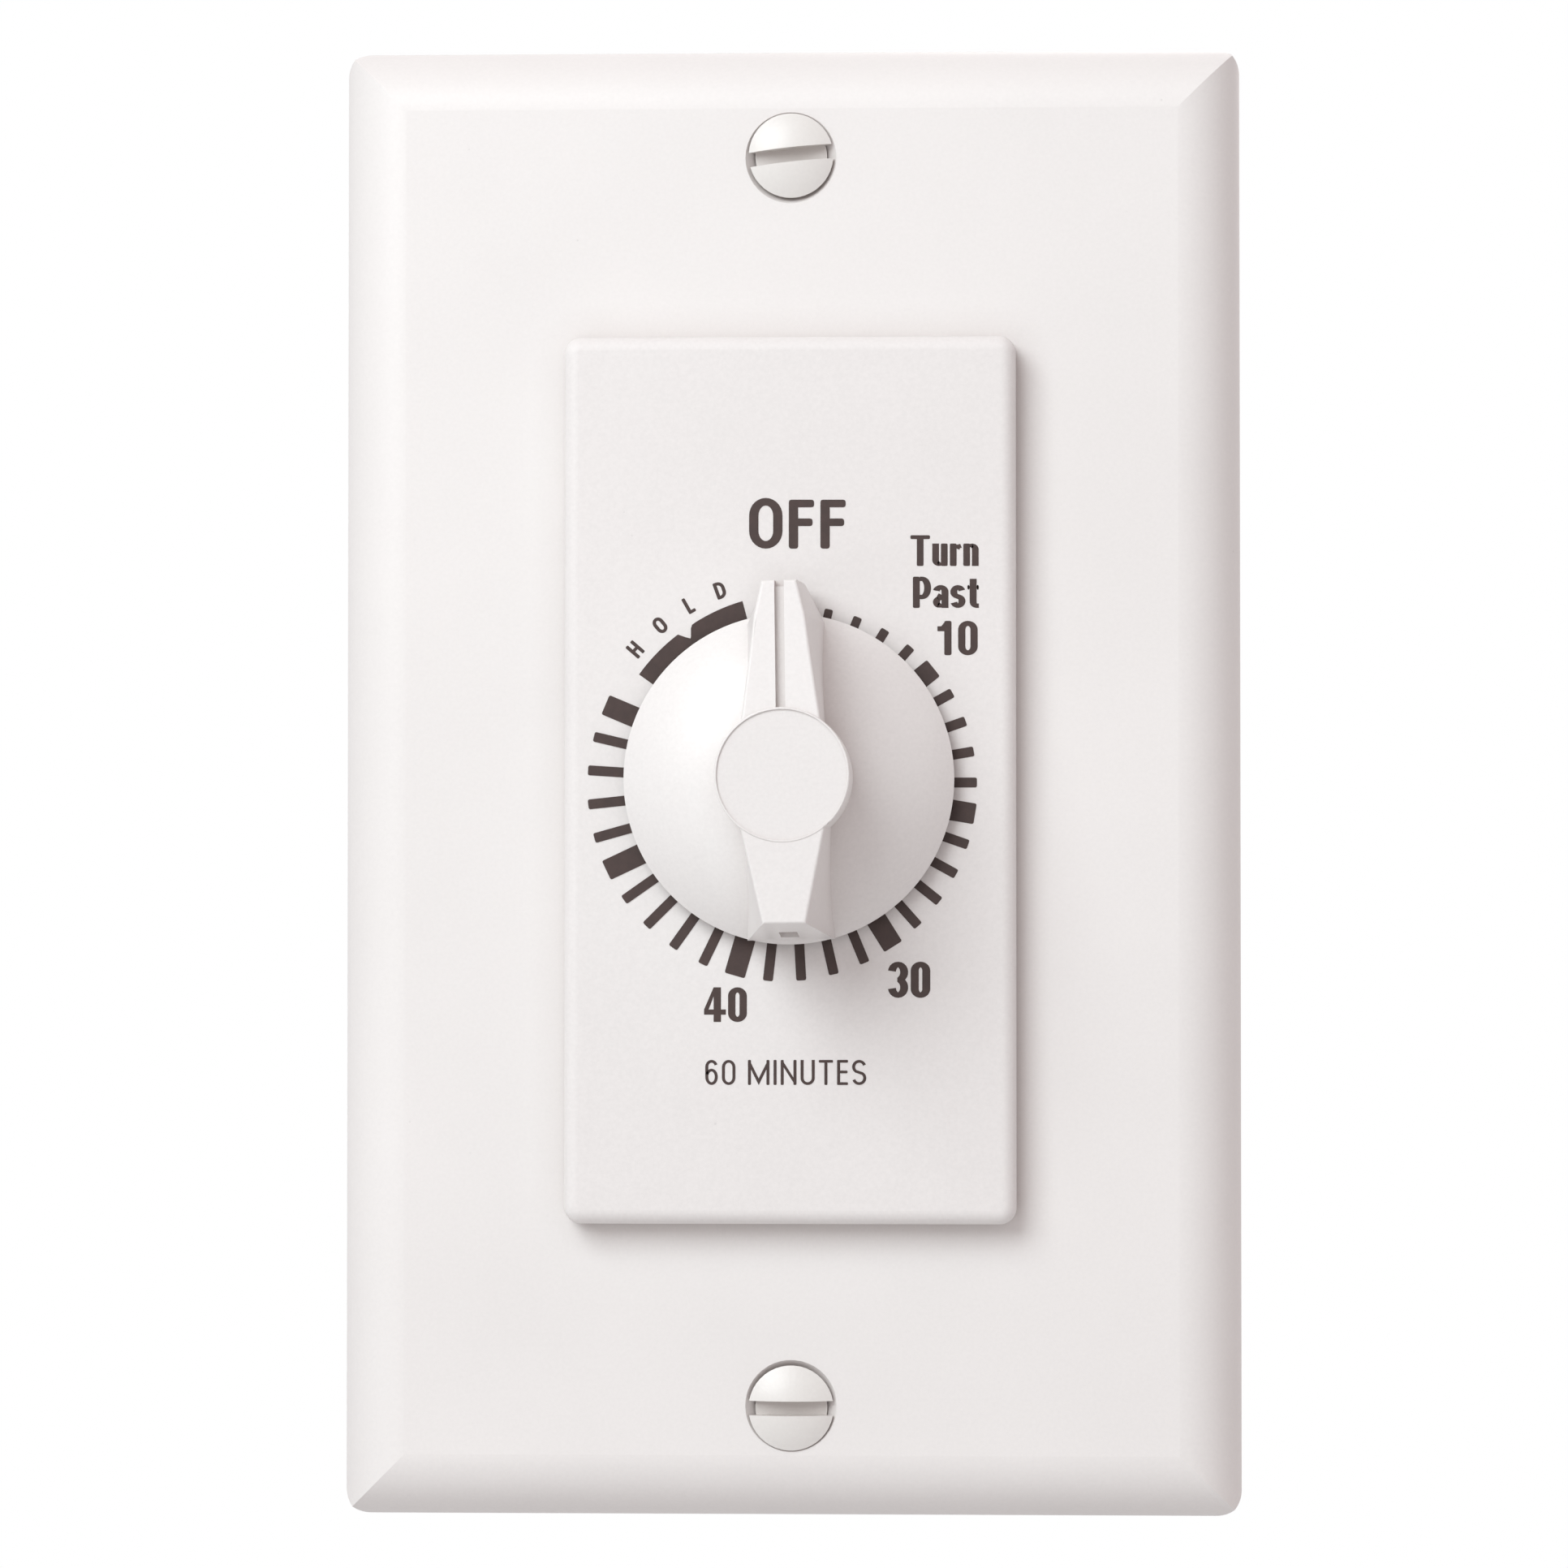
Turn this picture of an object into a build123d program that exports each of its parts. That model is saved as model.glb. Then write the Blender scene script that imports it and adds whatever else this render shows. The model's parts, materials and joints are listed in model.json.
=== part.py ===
"""Spring-wound timer switch for a one-gang wall box, one STEP file per sub-part.

All sizes are in millimetres. The wall surface is at depth zero: the room lies towards -Y and the
wall box towards +Y. The knob's shaft runs along Y through the origin, +X is to the right as seen
from the room, and +Z is up.
"""
from build123d import *
from math import asin, atan2, cos, degrees, hypot, radians, sin
import os

# Fits that many pieces share
running_gap = 0.05
seat_gap = 0.02
face_gap = 0.1
loose_gap = 0.3
cut_overrun = 1.0

# Wall plate
plate_width = 69.85
plate_height = 114.3
plate_depth = 5.8
plate_wall = 2.2
plate_corner_radius = 2.0
bevel_width = 4.9
bevel_drop = 3.6
bevel_crown = 0.97
hollow_rim_depth = 2.3
hollow_bevel_width = 1.6
opening_width = 33.4
opening_height = 66.9
opening_corner_radius = 0.8
collar_wall = 2.0
collar_gap = 0.7
plate_boss_radius = 3.1
plate_hole_spacing = 96.84

# Plate screws
plate_screw_spacing = 97.16
screw_radius = 1.75
plate_screw_head_radius = 3.29
plate_screw_head_crown = 0.95
plate_screw_head_edge = 0.15
plate_screw_sink = 1.7
plate_screw_length = 11.4
plate_screw_slot_width = 1.12
plate_screw_slot_depth = 1.5
upper_slot_tilt = 6.0
lower_slot_tilt = 0.0
sink_ring = 0.26

# Mounting strap
strap_thick = 1.3
strap_length = 105.0
strap_width = 37.0
strap_middle_height = 73.0
strap_neck_width = 19.0
strap_ear_width = 38.0
strap_ear_height = 7.5
strap_corner_radius = 1.2
box_screw_spacing = 83.34
box_slot_width = 3.9
box_slot_length = 7.0
ground_tab_width = 10.0
ground_tab_height = 9.0
ground_tab_side = 13.5

# Screws through the strap
box_screw_head_radius = 3.5
box_screw_head_height = 2.0
box_screw_neck_radius = 1.5
box_screw_neck_reach = 0.45
box_screw_length = 30.0
box_screw_slot_width = 1.0
box_screw_slot_depth = 1.1
box_washer_radius = 4.2
box_washer_thick = 0.4
ground_screw_head_radius = 4.0
ground_screw_head_height = 2.2
ground_screw_length = 5.0

# Dial plate
dial_width = 34.9
dial_height = 68.5
dial_lip = 3.2
dial_corner_radius = 1.3
dial_edge_radius = 1.1
lip_relief_width = 0.4
lip_relief_depth = 0.35
dial_wall = 1.6
skirt_gap = 0.2
dial_hole_radius = 6.2
snap_leg_width = 6.0
snap_leg_side = 10.0
snap_hook_reach = 0.8
snap_hook_height = 1.2

# Knob
knob_gap = 0.7
knob_radius = 12.7
knob_rim_height = 0.9
knob_dome_height = 3.9
knob_dome_crown = 0.75
knob_wall = 1.3
knob_height = 15.3
hub_radius = 5.05
hub_proud = 0.06
hub_edge_radius = 0.1
hub_rim_width = 0.16
hub_recess = 0.14
blade_base_lift = 0.9
blade_edge_radius = 0.22
pointer_reach = 14.95
pointer_face_reach = 14.55
pointer_shoulder_length = 11.9
pointer_base_tip_width = 3.0
pointer_base_width = 6.0
pointer_face_tip_width = 2.6
pointer_face_width = 6.15
pointer_face_swell = 0.2
pointer_slope_drop = 1.4
tail_reach = 12.35
tail_face_reach = 11.1
tail_base_width = 6.75
tail_face_tip_width = 3.2
tail_face_width = 6.55
blade_face_root = 3.4
pointer_groove_width = 0.72
pointer_groove_depth = 0.62
pointer_gap_length = 0.42
pointer_gap_depth = 3.2
blade_skew = 1.0
front_face_lean = 30.0
tail_notch_width = 1.4
tail_notch_depth = 0.8
tail_notch_height = 4.6
tail_notch_lift = 2.2
knob_boss_radius = 5.0
blade_pocket_width = 2.6
blade_pocket_wall = 1.7

# Main shaft
shaft_radius = 3.175
shaft_flat = 2.2
shaft_front_reach = 20.0
shaft_front_chamfer = 0.5
knob_clip_thick = 0.3
knob_clip_bow = 0.25
knob_clip_width = 3.0
knob_clip_room = 0.75
spring_hub_radius = 3.9
wheel_seat_radius = 3.0
rear_shaft_radius = 2.5
cam_flat = 1.9
ring_groove_depth = 0.5

# Bushing that clamps the strap to the movement
bushing_radius = 4.76
bushing_reach = 6.0
bushing_flange_radius = 6.2
bushing_flange_thick = 0.7
bushing_nut_flats = 12.7
bushing_nut_thick = 2.4
bushing_washer_radius = 6.6
bushing_washer_thick = 0.6

# Movement plates, pillars and standoffs
movement_width = 43.6
movement_height = 56.0
movement_corner_radius = 2.0
movement_plate_thick = 1.2
movement_room = 19.8
pillar_side = 18.0
pillar_rise = 23.5
pillar_radius = 2.5
pillar_stud_radius = 1.5
pillar_stud_reach = 3.0
standoff_flats = 5.5
switch_room = 9.0
housing_screw_length = 6.0
housing_screw_head_radius = 2.7
housing_screw_head_height = 1.8
housing_screw_slot_width = 0.8
housing_screw_slot_depth = 0.9

# Housing
housing_width = 47.6
housing_height = 60.0
housing_wall = 1.8
housing_corner_radius = 3.0

# Mainspring and its post
mainspring_gap = 0.5
mainspring_width = 5.8
mainspring_thick = 0.35
mainspring_pitch = 1.2
mainspring_turns = 6
mainspring_post_radius = 1.25
mainspring_post_tenon = 0.8

# Wheel train: tooth counts, then the wheels' pitch radii
great_teeth = 72
second_teeth = 60
third_teeth = 54
pinion_leaves = 8
great_pitch_radius = 12.96
second_pitch_radius = 9.6
third_pitch_radius = 7.56
second_bearing = 90.0
third_bearing = -20.0
escape_bearing = -60.0
staff_bearing = -85.0
# thickness at the pitch circle, at half height and at the tip, then addendum and dedendum
wheel_tooth_shares = (1.40, 1.20, 0.50, 1.00, 0.95)
leaf_tooth_shares = (1.16, 1.02, 0.36, 0.55, 1.35)
arbor_radius = 0.9
pivot_radius = 0.5
train_gap = 0.4
great_wheel_gap = 0.45
great_wheel_thick = 1.2
clutch_spring_thick = 0.35
clutch_spring_rise = 0.25
clutch_spring_radius = 4.3
clutch_ring_thick = 0.5
clutch_ring_radius = 4.0
second_wheel_gap = 0.7
second_wheel_thick = 0.8
third_wheel_gap = 1.4
third_wheel_thick = 0.7
spoke_width = 1.5
spoke_count = 4
wheel_rim = 1.5
wheel_hub = 2.2

# Escapement
escape_teeth = 15
escape_radius = 5.0
escape_root_radius = 3.4
escape_tip_width = 0.2
escape_root_width = 0.95
escape_wheel_gap = 1.3
escape_wheel_thick = 0.6
escape_hub_radius = 1.5
staff_distance = 6.8
pallet_span_teeth = 3.5
pallet_pin_radius = 0.2
pallet_pin_gap = 0.12
pallet_gap = 0.6
pallet_thick = 0.7
pallet_arm_width = 1.0
pallet_hub_radius = 1.5
balance_gap = 0.5
balance_thick = 1.0
balance_radius = 5.9
balance_rim = 1.2
balance_arm_width = 1.3
balance_hub_radius = 1.5
hairspring_gap = 0.4
hairspring_width = 0.5
hairspring_thick = 0.12
hairspring_pitch = 0.5
hairspring_turns = 5
hairspring_collet_radius = 1.05
hairspring_stud_radius = 0.5

# Stop, cam and hold detent behind the rear movement plate
hold_steps = 6208
stop_pin_radius = 1.1
stop_pin_distance = 9.3
stop_pin_bearing = 90.0
stop_lug_radius = 10.6
stop_clearance = 0.25
cam_gap = 0.6
stop_flange_thick = 1.4
detent_disc_thick = 2.0
cam_thick = 2.8
cam_hub_radius = 6.4
detent_disc_radius = 7.0
detent_bearing = 180.0
detent_notch_width = 3.0
detent_notch_depth = 1.1
cam_radius = 8.0
cam_notch_bearing = -90.0
cam_notch_top_width = 6.6
cam_notch_bottom_width = 2.2
cam_notch_depth = 2.0
cam_ring_thick = 0.5
cam_ring_radius = 3.6
detent_spring_thick = 0.4
detent_spring_side = 11.6
detent_nose_half_height = 2.6
detent_spring_top = 12.5
detent_foot_side = 15.2
detent_foot_width = 5.0
detent_foot_height = 4.0
detent_screw_radius = 1.0
detent_screw_head_radius = 1.9
detent_screw_head_height = 1.1
detent_screw_length = 2.6

# Terminal block and switch blades
block_width = 28.0
block_height = 13.0
block_drop = 14.0
block_back_reach = 6.4
pocket_width = 9.7
pocket_depth = 5.6
pocket_side = 8.05
pocket_wall = 1.2
block_screw_radius = 1.25
block_screw_head_radius = 2.3
block_screw_head_height = 1.5
block_screw_drops = (16.9, 24.4)
blade_slot_drop = 5.0
blade_thick = 0.4
blade_width = 2.2
blade_leg_side = 12.2
blade_leg_drop = 18.4
moving_blade_drop = 8.35
moving_bump_drop = 6.2
moving_bump_half_width = 2.0
moving_blade_end = 9.6
fixed_blade_drop = 11.9
fixed_blade_end = 5.4
contact_side = 7.5
contact_radius = 1.0
contact_height = 0.8
terminal_plate_thick = 0.8
terminal_pad_height = 8.0
terminal_pad_drop = 20.6
terminal_screw_head_radius = 3.4
terminal_screw_head_height = 1.8
terminal_screw_length = 5.0
terminal_screw_slot_width = 1.0
terminal_screw_slot_depth = 1.0

# Places that follow from the sizes above, as depths along Y
plate_face = -plate_depth
strap_front = -strap_thick
dial_face = plate_face - dial_lip
knob_back = dial_face - knob_gap
blade_face = dial_face - knob_height + hub_proud
hub_face = dial_face - knob_height
front_plate_back = movement_plate_thick
rear_plate_front = front_plate_back + movement_room
rear_plate_back = rear_plate_front + movement_plate_thick
base_front = rear_plate_back + switch_room
base_back = base_front + housing_wall
bushing_back = front_plate_back + bushing_flange_thick
mainspring_front = bushing_back + mainspring_gap
mainspring_back = mainspring_front + mainspring_width
great_wheel_front = mainspring_back + great_wheel_gap
great_wheel_back = great_wheel_front + great_wheel_thick
clutch_spring_back = great_wheel_back + clutch_spring_thick + clutch_spring_rise
clutch_ring_back = clutch_spring_back + clutch_ring_thick
second_wheel_front = clutch_ring_back + second_wheel_gap
second_wheel_back = second_wheel_front + second_wheel_thick
third_wheel_front = second_wheel_back + third_wheel_gap
third_wheel_back = third_wheel_front + third_wheel_thick
escape_wheel_front = third_wheel_back + escape_wheel_gap
escape_wheel_back = escape_wheel_front + escape_wheel_thick
pallet_front = escape_wheel_back + pallet_gap
pallet_back = pallet_front + pallet_thick
balance_front = pallet_back + balance_gap
balance_back = balance_front + balance_thick
hairspring_front = balance_back + hairspring_gap
hairspring_back = hairspring_front + hairspring_width
stop_flange_front = rear_plate_back + cam_gap
detent_disc_front = stop_flange_front + stop_flange_thick
cam_front = detent_disc_front + detent_disc_thick
cam_back = cam_front + cam_thick
cam_ring_back = cam_back + cam_ring_thick
block_back = base_back + block_back_reach
pocket_floor = block_back - pocket_depth
blade_front = cam_front + (cam_thick - blade_width) / 2
blade_back = blade_front + blade_width
terminal_pad_back = pocket_floor + terminal_plate_thick
great_module = 2 * great_pitch_radius / great_teeth
second_module = 2 * second_pitch_radius / second_teeth
third_module = 2 * third_pitch_radius / third_teeth
train_ratio = great_teeth * second_teeth * third_teeth / pinion_leaves**3
hold_angle = hold_steps * 360 / escape_teeth / train_ratio


# Helpers

def polar(distance, bearing, start=(0, 0)):
    """Point (x, z) at a distance and an anticlockwise bearing in degrees from +X, as seen from the room."""
    return start[0] + distance * cos(radians(bearing)), start[1] + distance * sin(radians(bearing))


def bearing_to(start, end):
    """Bearing in degrees from one (x, z) point to another."""
    return degrees(atan2(end[1] - start[1], end[0] - start[0]))


def front_view(depth):
    """Plane across the depth, with local x along +X and local y along +Z."""
    return Plane(origin=(0, depth, 0), x_dir=(1, 0, 0), z_dir=(0, -1, 0))


def prism(outline, front, back):
    """Solid of a front-view outline between two depths."""
    return extrude(front_view(back) * outline, back - front, dir=(0, -1, 0))


def disc(radius, front, back, at=(0, 0)):
    """Round bar along the depth at a point (x, z)."""
    return prism(Pos(*at) * Circle(radius), front, back)


def ring(outer, inner, front, back, at=(0, 0)):
    """Round sleeve or washer along the depth at a point (x, z)."""
    return prism(Pos(*at) * (Circle(outer) - Circle(inner)), front, back)


def turned(points, at=(0, 0)):
    """Solid turned about the depth direction from (radius, depth) points, moved to a point (x, z)."""
    return Pos(at[0], 0, at[1]) * revolve(make_face(Polyline(*points, close=True)), Axis.Y)


def turned_edges(edges, at=(0, 0)):
    """Solid turned about the depth direction from edges drawn in radius and depth."""
    return Pos(at[0], 0, at[1]) * revolve(make_face(edges), Axis.Y)


def bar_along_x(outline, length):
    """Outline in height and depth, drawn out along X to both sides of the middle."""
    side = Plane(origin=(0, 0, 0), x_dir=(0, 0, 1), z_dir=(-1, 0, 0))
    return extrude(side * outline, length / 2, both=True)


def bar_along_z(outline, length):
    """Outline in width and depth, drawn out along Z to both sides of the middle."""
    return extrude(Plane.XY * outline, length / 2, both=True)


def box_between(low, high):
    """Box between two corner points."""
    size = [b - a for a, b in zip(low, high)]
    middle = [(a + b) / 2 for a, b in zip(low, high)]
    return Pos(*middle) * Box(*size)


def hexagon(flats):
    """Hexagon outline of a given width across its flats."""
    return RegularPolygon(flats / 2, 6, major_radius=False)


def flatted(radius, flat):
    """Circle with one flat below its middle, at the distance flat from it."""
    return Circle(radius) & (Pos(0, radius - flat) * Rectangle(2 * radius, 2 * radius))


def ribbon(points, thick):
    """Outline of a bent strip of even thickness along a line of (x, z) points."""
    count = len(points)
    left, right = [], []
    for i in range(count):
        before = bearing_to(points[max(i - 1, 0)], points[max(i, 1)])
        after = bearing_to(points[min(i, count - 2)], points[min(i + 1, count - 1)])
        turn = (after - before + 180) % 360 - 180
        reach = thick / 2 / cos(radians(turn / 2))
        side = before + turn / 2 + 90
        left.append(polar(reach, side, points[i]))
        right.append(polar(-reach, side, points[i]))
    return make_face(Polyline(*left, *reversed(right), close=True))


def slotted_pan_head(radius, height, back_to_front, depth, at, slot):
    """Pan head with a slot, on the seat at the given depth. back_to_front is -1 towards the room."""
    width, deep = slot
    head = turned(
        [
            (0, depth),
            (radius, depth),
            (radius, depth + back_to_front * height / 2),
            (radius - height / 2, depth + back_to_front * height),
            (0, depth + back_to_front * height),
        ],
        at,
    )
    top = depth + back_to_front * height
    cutter = prism(
        Pos(*at) * Rectangle(2 * (radius + cut_overrun), width),
        min(top - back_to_front * deep, top + back_to_front * cut_overrun),
        max(top - back_to_front * deep, top + back_to_front * cut_overrun),
    )
    return head - cutter


# Wall plate and its screws

def plate_section(span):
    """Section of the plate across one direction: flat in front, with arched bevels run out past the rim."""
    half = span / 2
    flat = half - bevel_width
    chord = hypot(bevel_width, bevel_drop)
    radius = chord**2 / (8 * bevel_crown) + bevel_crown / 2
    rise = radius - bevel_crown
    centre = (
        (half + flat) / 2 - rise * bevel_drop / chord,
        plate_face + bevel_drop / 2 + rise * bevel_width / chord,
    )
    start = bearing_to(centre, (flat, plate_face))
    end = bearing_to(centre, (half, plate_face + bevel_drop)) + degrees(cut_overrun / radius)
    middle_x, middle_depth = polar(radius, (start + end) / 2, centre)
    end_x, end_depth = polar(radius, end, centre)
    edges = [
        Line((-flat, plate_face), (flat, plate_face)),
        ThreePointArc((flat, plate_face), (middle_x, middle_depth), (end_x, end_depth)),
        Line((end_x, end_depth), (end_x, 0)),
        Line((end_x, 0), (-end_x, 0)),
        Line((-end_x, 0), (-end_x, end_depth)),
        ThreePointArc((-end_x, end_depth), (-middle_x, middle_depth), (-flat, plate_face)),
    ]
    return make_face(edges)


def plate_hollow_section(span):
    """Section of the hollow behind the plate across one direction."""
    half = span / 2 - plate_wall
    deep = plate_face + plate_wall
    points = [
        (-half, cut_overrun),
        (-half, -hollow_rim_depth),
        (-half + hollow_bevel_width, deep),
        (half - hollow_bevel_width, deep),
        (half, -hollow_rim_depth),
        (half, cut_overrun),
    ]
    return make_face(Polyline(*points, close=True))


def make_wall_plate():
    """One-gang plate: a hollow dish with a bevelled rim, a collared opening and two sunk screw holes."""
    plate = bar_along_z(plate_section(plate_width), plate_height + cut_overrun)
    plate &= bar_along_x(plate_section(plate_height), plate_width + cut_overrun)
    plate &= prism(RectangleRounded(plate_width, plate_height, plate_corner_radius), plate_face, 0)
    hollow = bar_along_z(plate_hollow_section(plate_width), plate_height - 2 * plate_wall)
    hollow &= bar_along_x(plate_hollow_section(plate_height), plate_width - 2 * plate_wall)
    plate -= hollow
    collar = Rectangle(opening_width + 2 * collar_wall, opening_height + 2 * collar_wall)
    plate += prism(collar, plate_face + plate_wall / 2, strap_front - collar_gap)
    opening = RectangleRounded(opening_width, opening_height, opening_corner_radius)
    plate -= prism(opening, plate_face - cut_overrun, cut_overrun)
    sink_top = plate_screw_head_radius + sink_ring
    hole = screw_radius + loose_gap
    for side in (1, -1):
        at = (0, side * plate_hole_spacing / 2)
        plate += disc(plate_boss_radius, plate_face + plate_wall / 2, strap_front - face_gap, at)
        plate -= turned(
            [
                (0, plate_face),
                (sink_top, plate_face),
                (hole, plate_face + plate_screw_sink),
                (hole, cut_overrun),
                (0, cut_overrun),
            ],
            at,
        )
    return plate


def make_plate_screw(side, tilt):
    """Oval-head screw: a sunk cone, a low crown with a slot across it, and a shank through the strap."""
    edge = plate_face - plate_screw_head_edge
    crown = plate_face - plate_screw_head_crown
    shank_end = plate_face + plate_screw_length
    half_way = plate_screw_head_radius / 2
    arch = (edge + crown) / 2 - (edge - crown) / 4
    edges = [
        Line((0, crown), (0, shank_end)),
        Line((0, shank_end), (screw_radius, shank_end)),
        Line((screw_radius, shank_end), (screw_radius, plate_face + plate_screw_sink)),
        Line((screw_radius, plate_face + plate_screw_sink), (plate_screw_head_radius, plate_face)),
        Line((plate_screw_head_radius, plate_face), (plate_screw_head_radius, edge)),
        ThreePointArc((plate_screw_head_radius, edge), (half_way, arch), (0, crown)),
    ]
    at = (0, side * plate_screw_spacing / 2)
    screw = turned_edges(edges, at)
    slot = Rotation(0, 0, tilt) * Rectangle(2 * (plate_screw_head_radius + cut_overrun), plate_screw_slot_width)
    return screw - prism(Pos(*at) * slot, crown - cut_overrun, crown + plate_screw_slot_depth)


def make_plate_screws():
    """The two slotted screws that hold the wall plate to the strap."""
    return [make_plate_screw(1, upper_slot_tilt), make_plate_screw(-1, lower_slot_tilt)]


# Strap and its hardware

def ground_at():
    """Place of the ground screw on the strap's lower tab, as (x, z)."""
    return -ground_tab_side, -(strap_middle_height + ground_tab_height) / 2 + ground_tab_height / 4


def snap_leg_height():
    """Height above the shaft of the middle of a snap leg's thickness."""
    return opening_height / 2 - skirt_gap - dial_wall / 2


def make_mounting_strap():
    """Flat steel strap: wide behind the dial plate, necked at the box screws, with ears at its ends."""
    outline = Rectangle(strap_width, strap_middle_height) + Rectangle(strap_neck_width, strap_length)
    for side in (1, -1):
        ear = Rectangle(strap_ear_width, strap_ear_height)
        outline += Pos(0, side * (strap_length - strap_ear_height) / 2) * ear
    tab = Rectangle(ground_tab_width, ground_tab_height)
    outline += Pos(-ground_tab_side, -strap_middle_height / 2) * tab
    outline = fillet(outline.vertices(), strap_corner_radius)
    outline -= Circle(bushing_radius + running_gap)
    outline -= Pos(*ground_at()) * Circle(screw_radius + seat_gap)
    for side in (1, -1):
        outline -= Pos(0, side * plate_screw_spacing / 2) * Circle(screw_radius + seat_gap)
        outline -= Pos(0, side * box_screw_spacing / 2) * SlotOverall(box_slot_length, box_slot_width)
        for hand in (1, -1):
            leg = Rectangle(
                snap_leg_width + 2 * loose_gap, dial_wall + snap_hook_reach + 2 * loose_gap
            )
            rise = side * (snap_leg_height() + snap_hook_reach / 2)
            outline -= Pos(hand * snap_leg_side, rise) * leg
    return prism(outline, strap_front, 0)


def make_box_screws():
    """The two long screws that fasten the strap to the wall box, necked where they pass the slots."""
    screws = []
    for side in (1, -1):
        at = (0, side * box_screw_spacing / 2)
        slot = (box_screw_slot_width, box_screw_slot_depth)
        screw = slotted_pan_head(box_screw_head_radius, box_screw_head_height, -1, strap_front, at, slot)
        screw += disc(box_screw_neck_radius, strap_front, box_screw_neck_reach, at)
        screw += disc(screw_radius, box_screw_neck_reach, box_screw_length, at)
        screws.append(screw)
    return screws


def make_box_screw_washers():
    """Fibre washers that keep the box screws in the strap."""
    return [
        ring(
            box_washer_radius,
            box_screw_neck_radius + running_gap,
            0,
            box_washer_thick,
            (0, side * box_screw_spacing / 2),
        )
        for side in (1, -1)
    ]


def make_ground_screw():
    """Hex-head screw behind the strap's tab, for the ground wire."""
    at = ground_at()
    head = Pos(*at) * RegularPolygon(ground_screw_head_radius, 6)
    screw = prism(head, 0, ground_screw_head_height)
    screw -= prism(
        Pos(*at) * Rectangle(2 * (ground_screw_head_radius + cut_overrun), box_screw_slot_width),
        ground_screw_head_height - box_screw_slot_depth,
        ground_screw_head_height + cut_overrun,
    )
    return screw + disc(screw_radius, ground_screw_head_height - ground_screw_length, 0, at)


# Dial plate

def make_dial_plate():
    """Rectangular insert: a lip over the wall plate, a skirt down to the strap and four snap legs."""
    lip = prism(RectangleRounded(dial_width, dial_height, dial_corner_radius), dial_face, plate_face)
    lip = fillet(lip.faces().sort_by(Axis.Y)[0].edges(), dial_edge_radius)
    seat_width = dial_width - 2 * lip_relief_width
    seat_height = dial_height - 2 * lip_relief_width
    relief = Rectangle(2 * dial_width, 2 * dial_height) - Rectangle(seat_width, seat_height)
    lip -= prism(relief, plate_face - lip_relief_depth, plate_face + cut_overrun)
    skirt_width = opening_width - 2 * skirt_gap
    skirt_height = opening_height - 2 * skirt_gap
    body = lip + prism(
        RectangleRounded(skirt_width, skirt_height, opening_corner_radius), plate_face, strap_front
    )
    room = Rectangle(skirt_width - 2 * dial_wall, skirt_height - 2 * dial_wall)
    body -= prism(room, dial_face + dial_wall, cut_overrun)
    body -= disc(dial_hole_radius, dial_face - cut_overrun, cut_overrun)
    for side in (1, -1):
        for hand in (1, -1):
            leg = Rectangle(snap_leg_width, dial_wall)
            body += prism(Pos(hand * snap_leg_side, side * snap_leg_height()) * leg, strap_front, face_gap)
            hook = Rectangle(snap_leg_width, dial_wall + snap_hook_reach)
            rise = side * (snap_leg_height() + snap_hook_reach / 2)
            body += prism(Pos(hand * snap_leg_side, rise) * hook, face_gap, face_gap + snap_hook_height)
    return body


# Knob

def knob_skirt(radius, rim, rise, crown, inner, back):
    """Shallow dome from the rim up to the hub, with its bulge outside the straight cone."""
    rim_front = back - rim
    top = rim_front - rise
    run = radius - inner
    chord = hypot(run, rise)
    middle = ((radius + inner) / 2 + crown * rise / chord, (rim_front + top) / 2 - crown * run / chord)
    edges = [
        Line((0, back), (radius, back)),
        Line((radius, back), (radius, rim_front)),
        ThreePointArc((radius, rim_front), middle, (inner, top)),
        Line((inner, top), (0, top)),
        Line((0, top), (0, back)),
    ]
    return turned_edges(edges)


def blade_outline(halves):
    """Closed outline of the blade, from half widths and heights listed from the pointer to the tail."""
    right = [(half, rise) for half, rise in halves]
    left = [(-half, rise) for half, rise in reversed(halves)]
    return make_face(Polyline(*right, *left, close=True))


def pointer_room(lift, width):
    """Room in front of the pointer's sloping face, let in by lift and as wide as asked."""
    far = pointer_reach + cut_overrun
    slope_share = (far - blade_face_root) / (pointer_face_reach - blade_face_root)
    front = blade_face - cut_overrun
    points = [
        (blade_face_root, blade_face + lift),
        (far, blade_face + pointer_slope_drop * slope_share + lift),
        (far, front),
        (blade_face_root, front),
    ]
    return bar_along_x(make_face(Polyline(*points, close=True)), width)


def outer_edges(faces):
    """Edges round a group of faces, without those that two of them share."""
    found = {}
    for face in faces:
        for edge in face.edges():
            middle = edge.center()
            place = tuple(round(value / running_gap) for value in (middle.X, middle.Y, middle.Z))
            found.setdefault(place, []).append(edge)
    return [edges[0] for edges in found.values() if len(edges) == 1]


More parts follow.
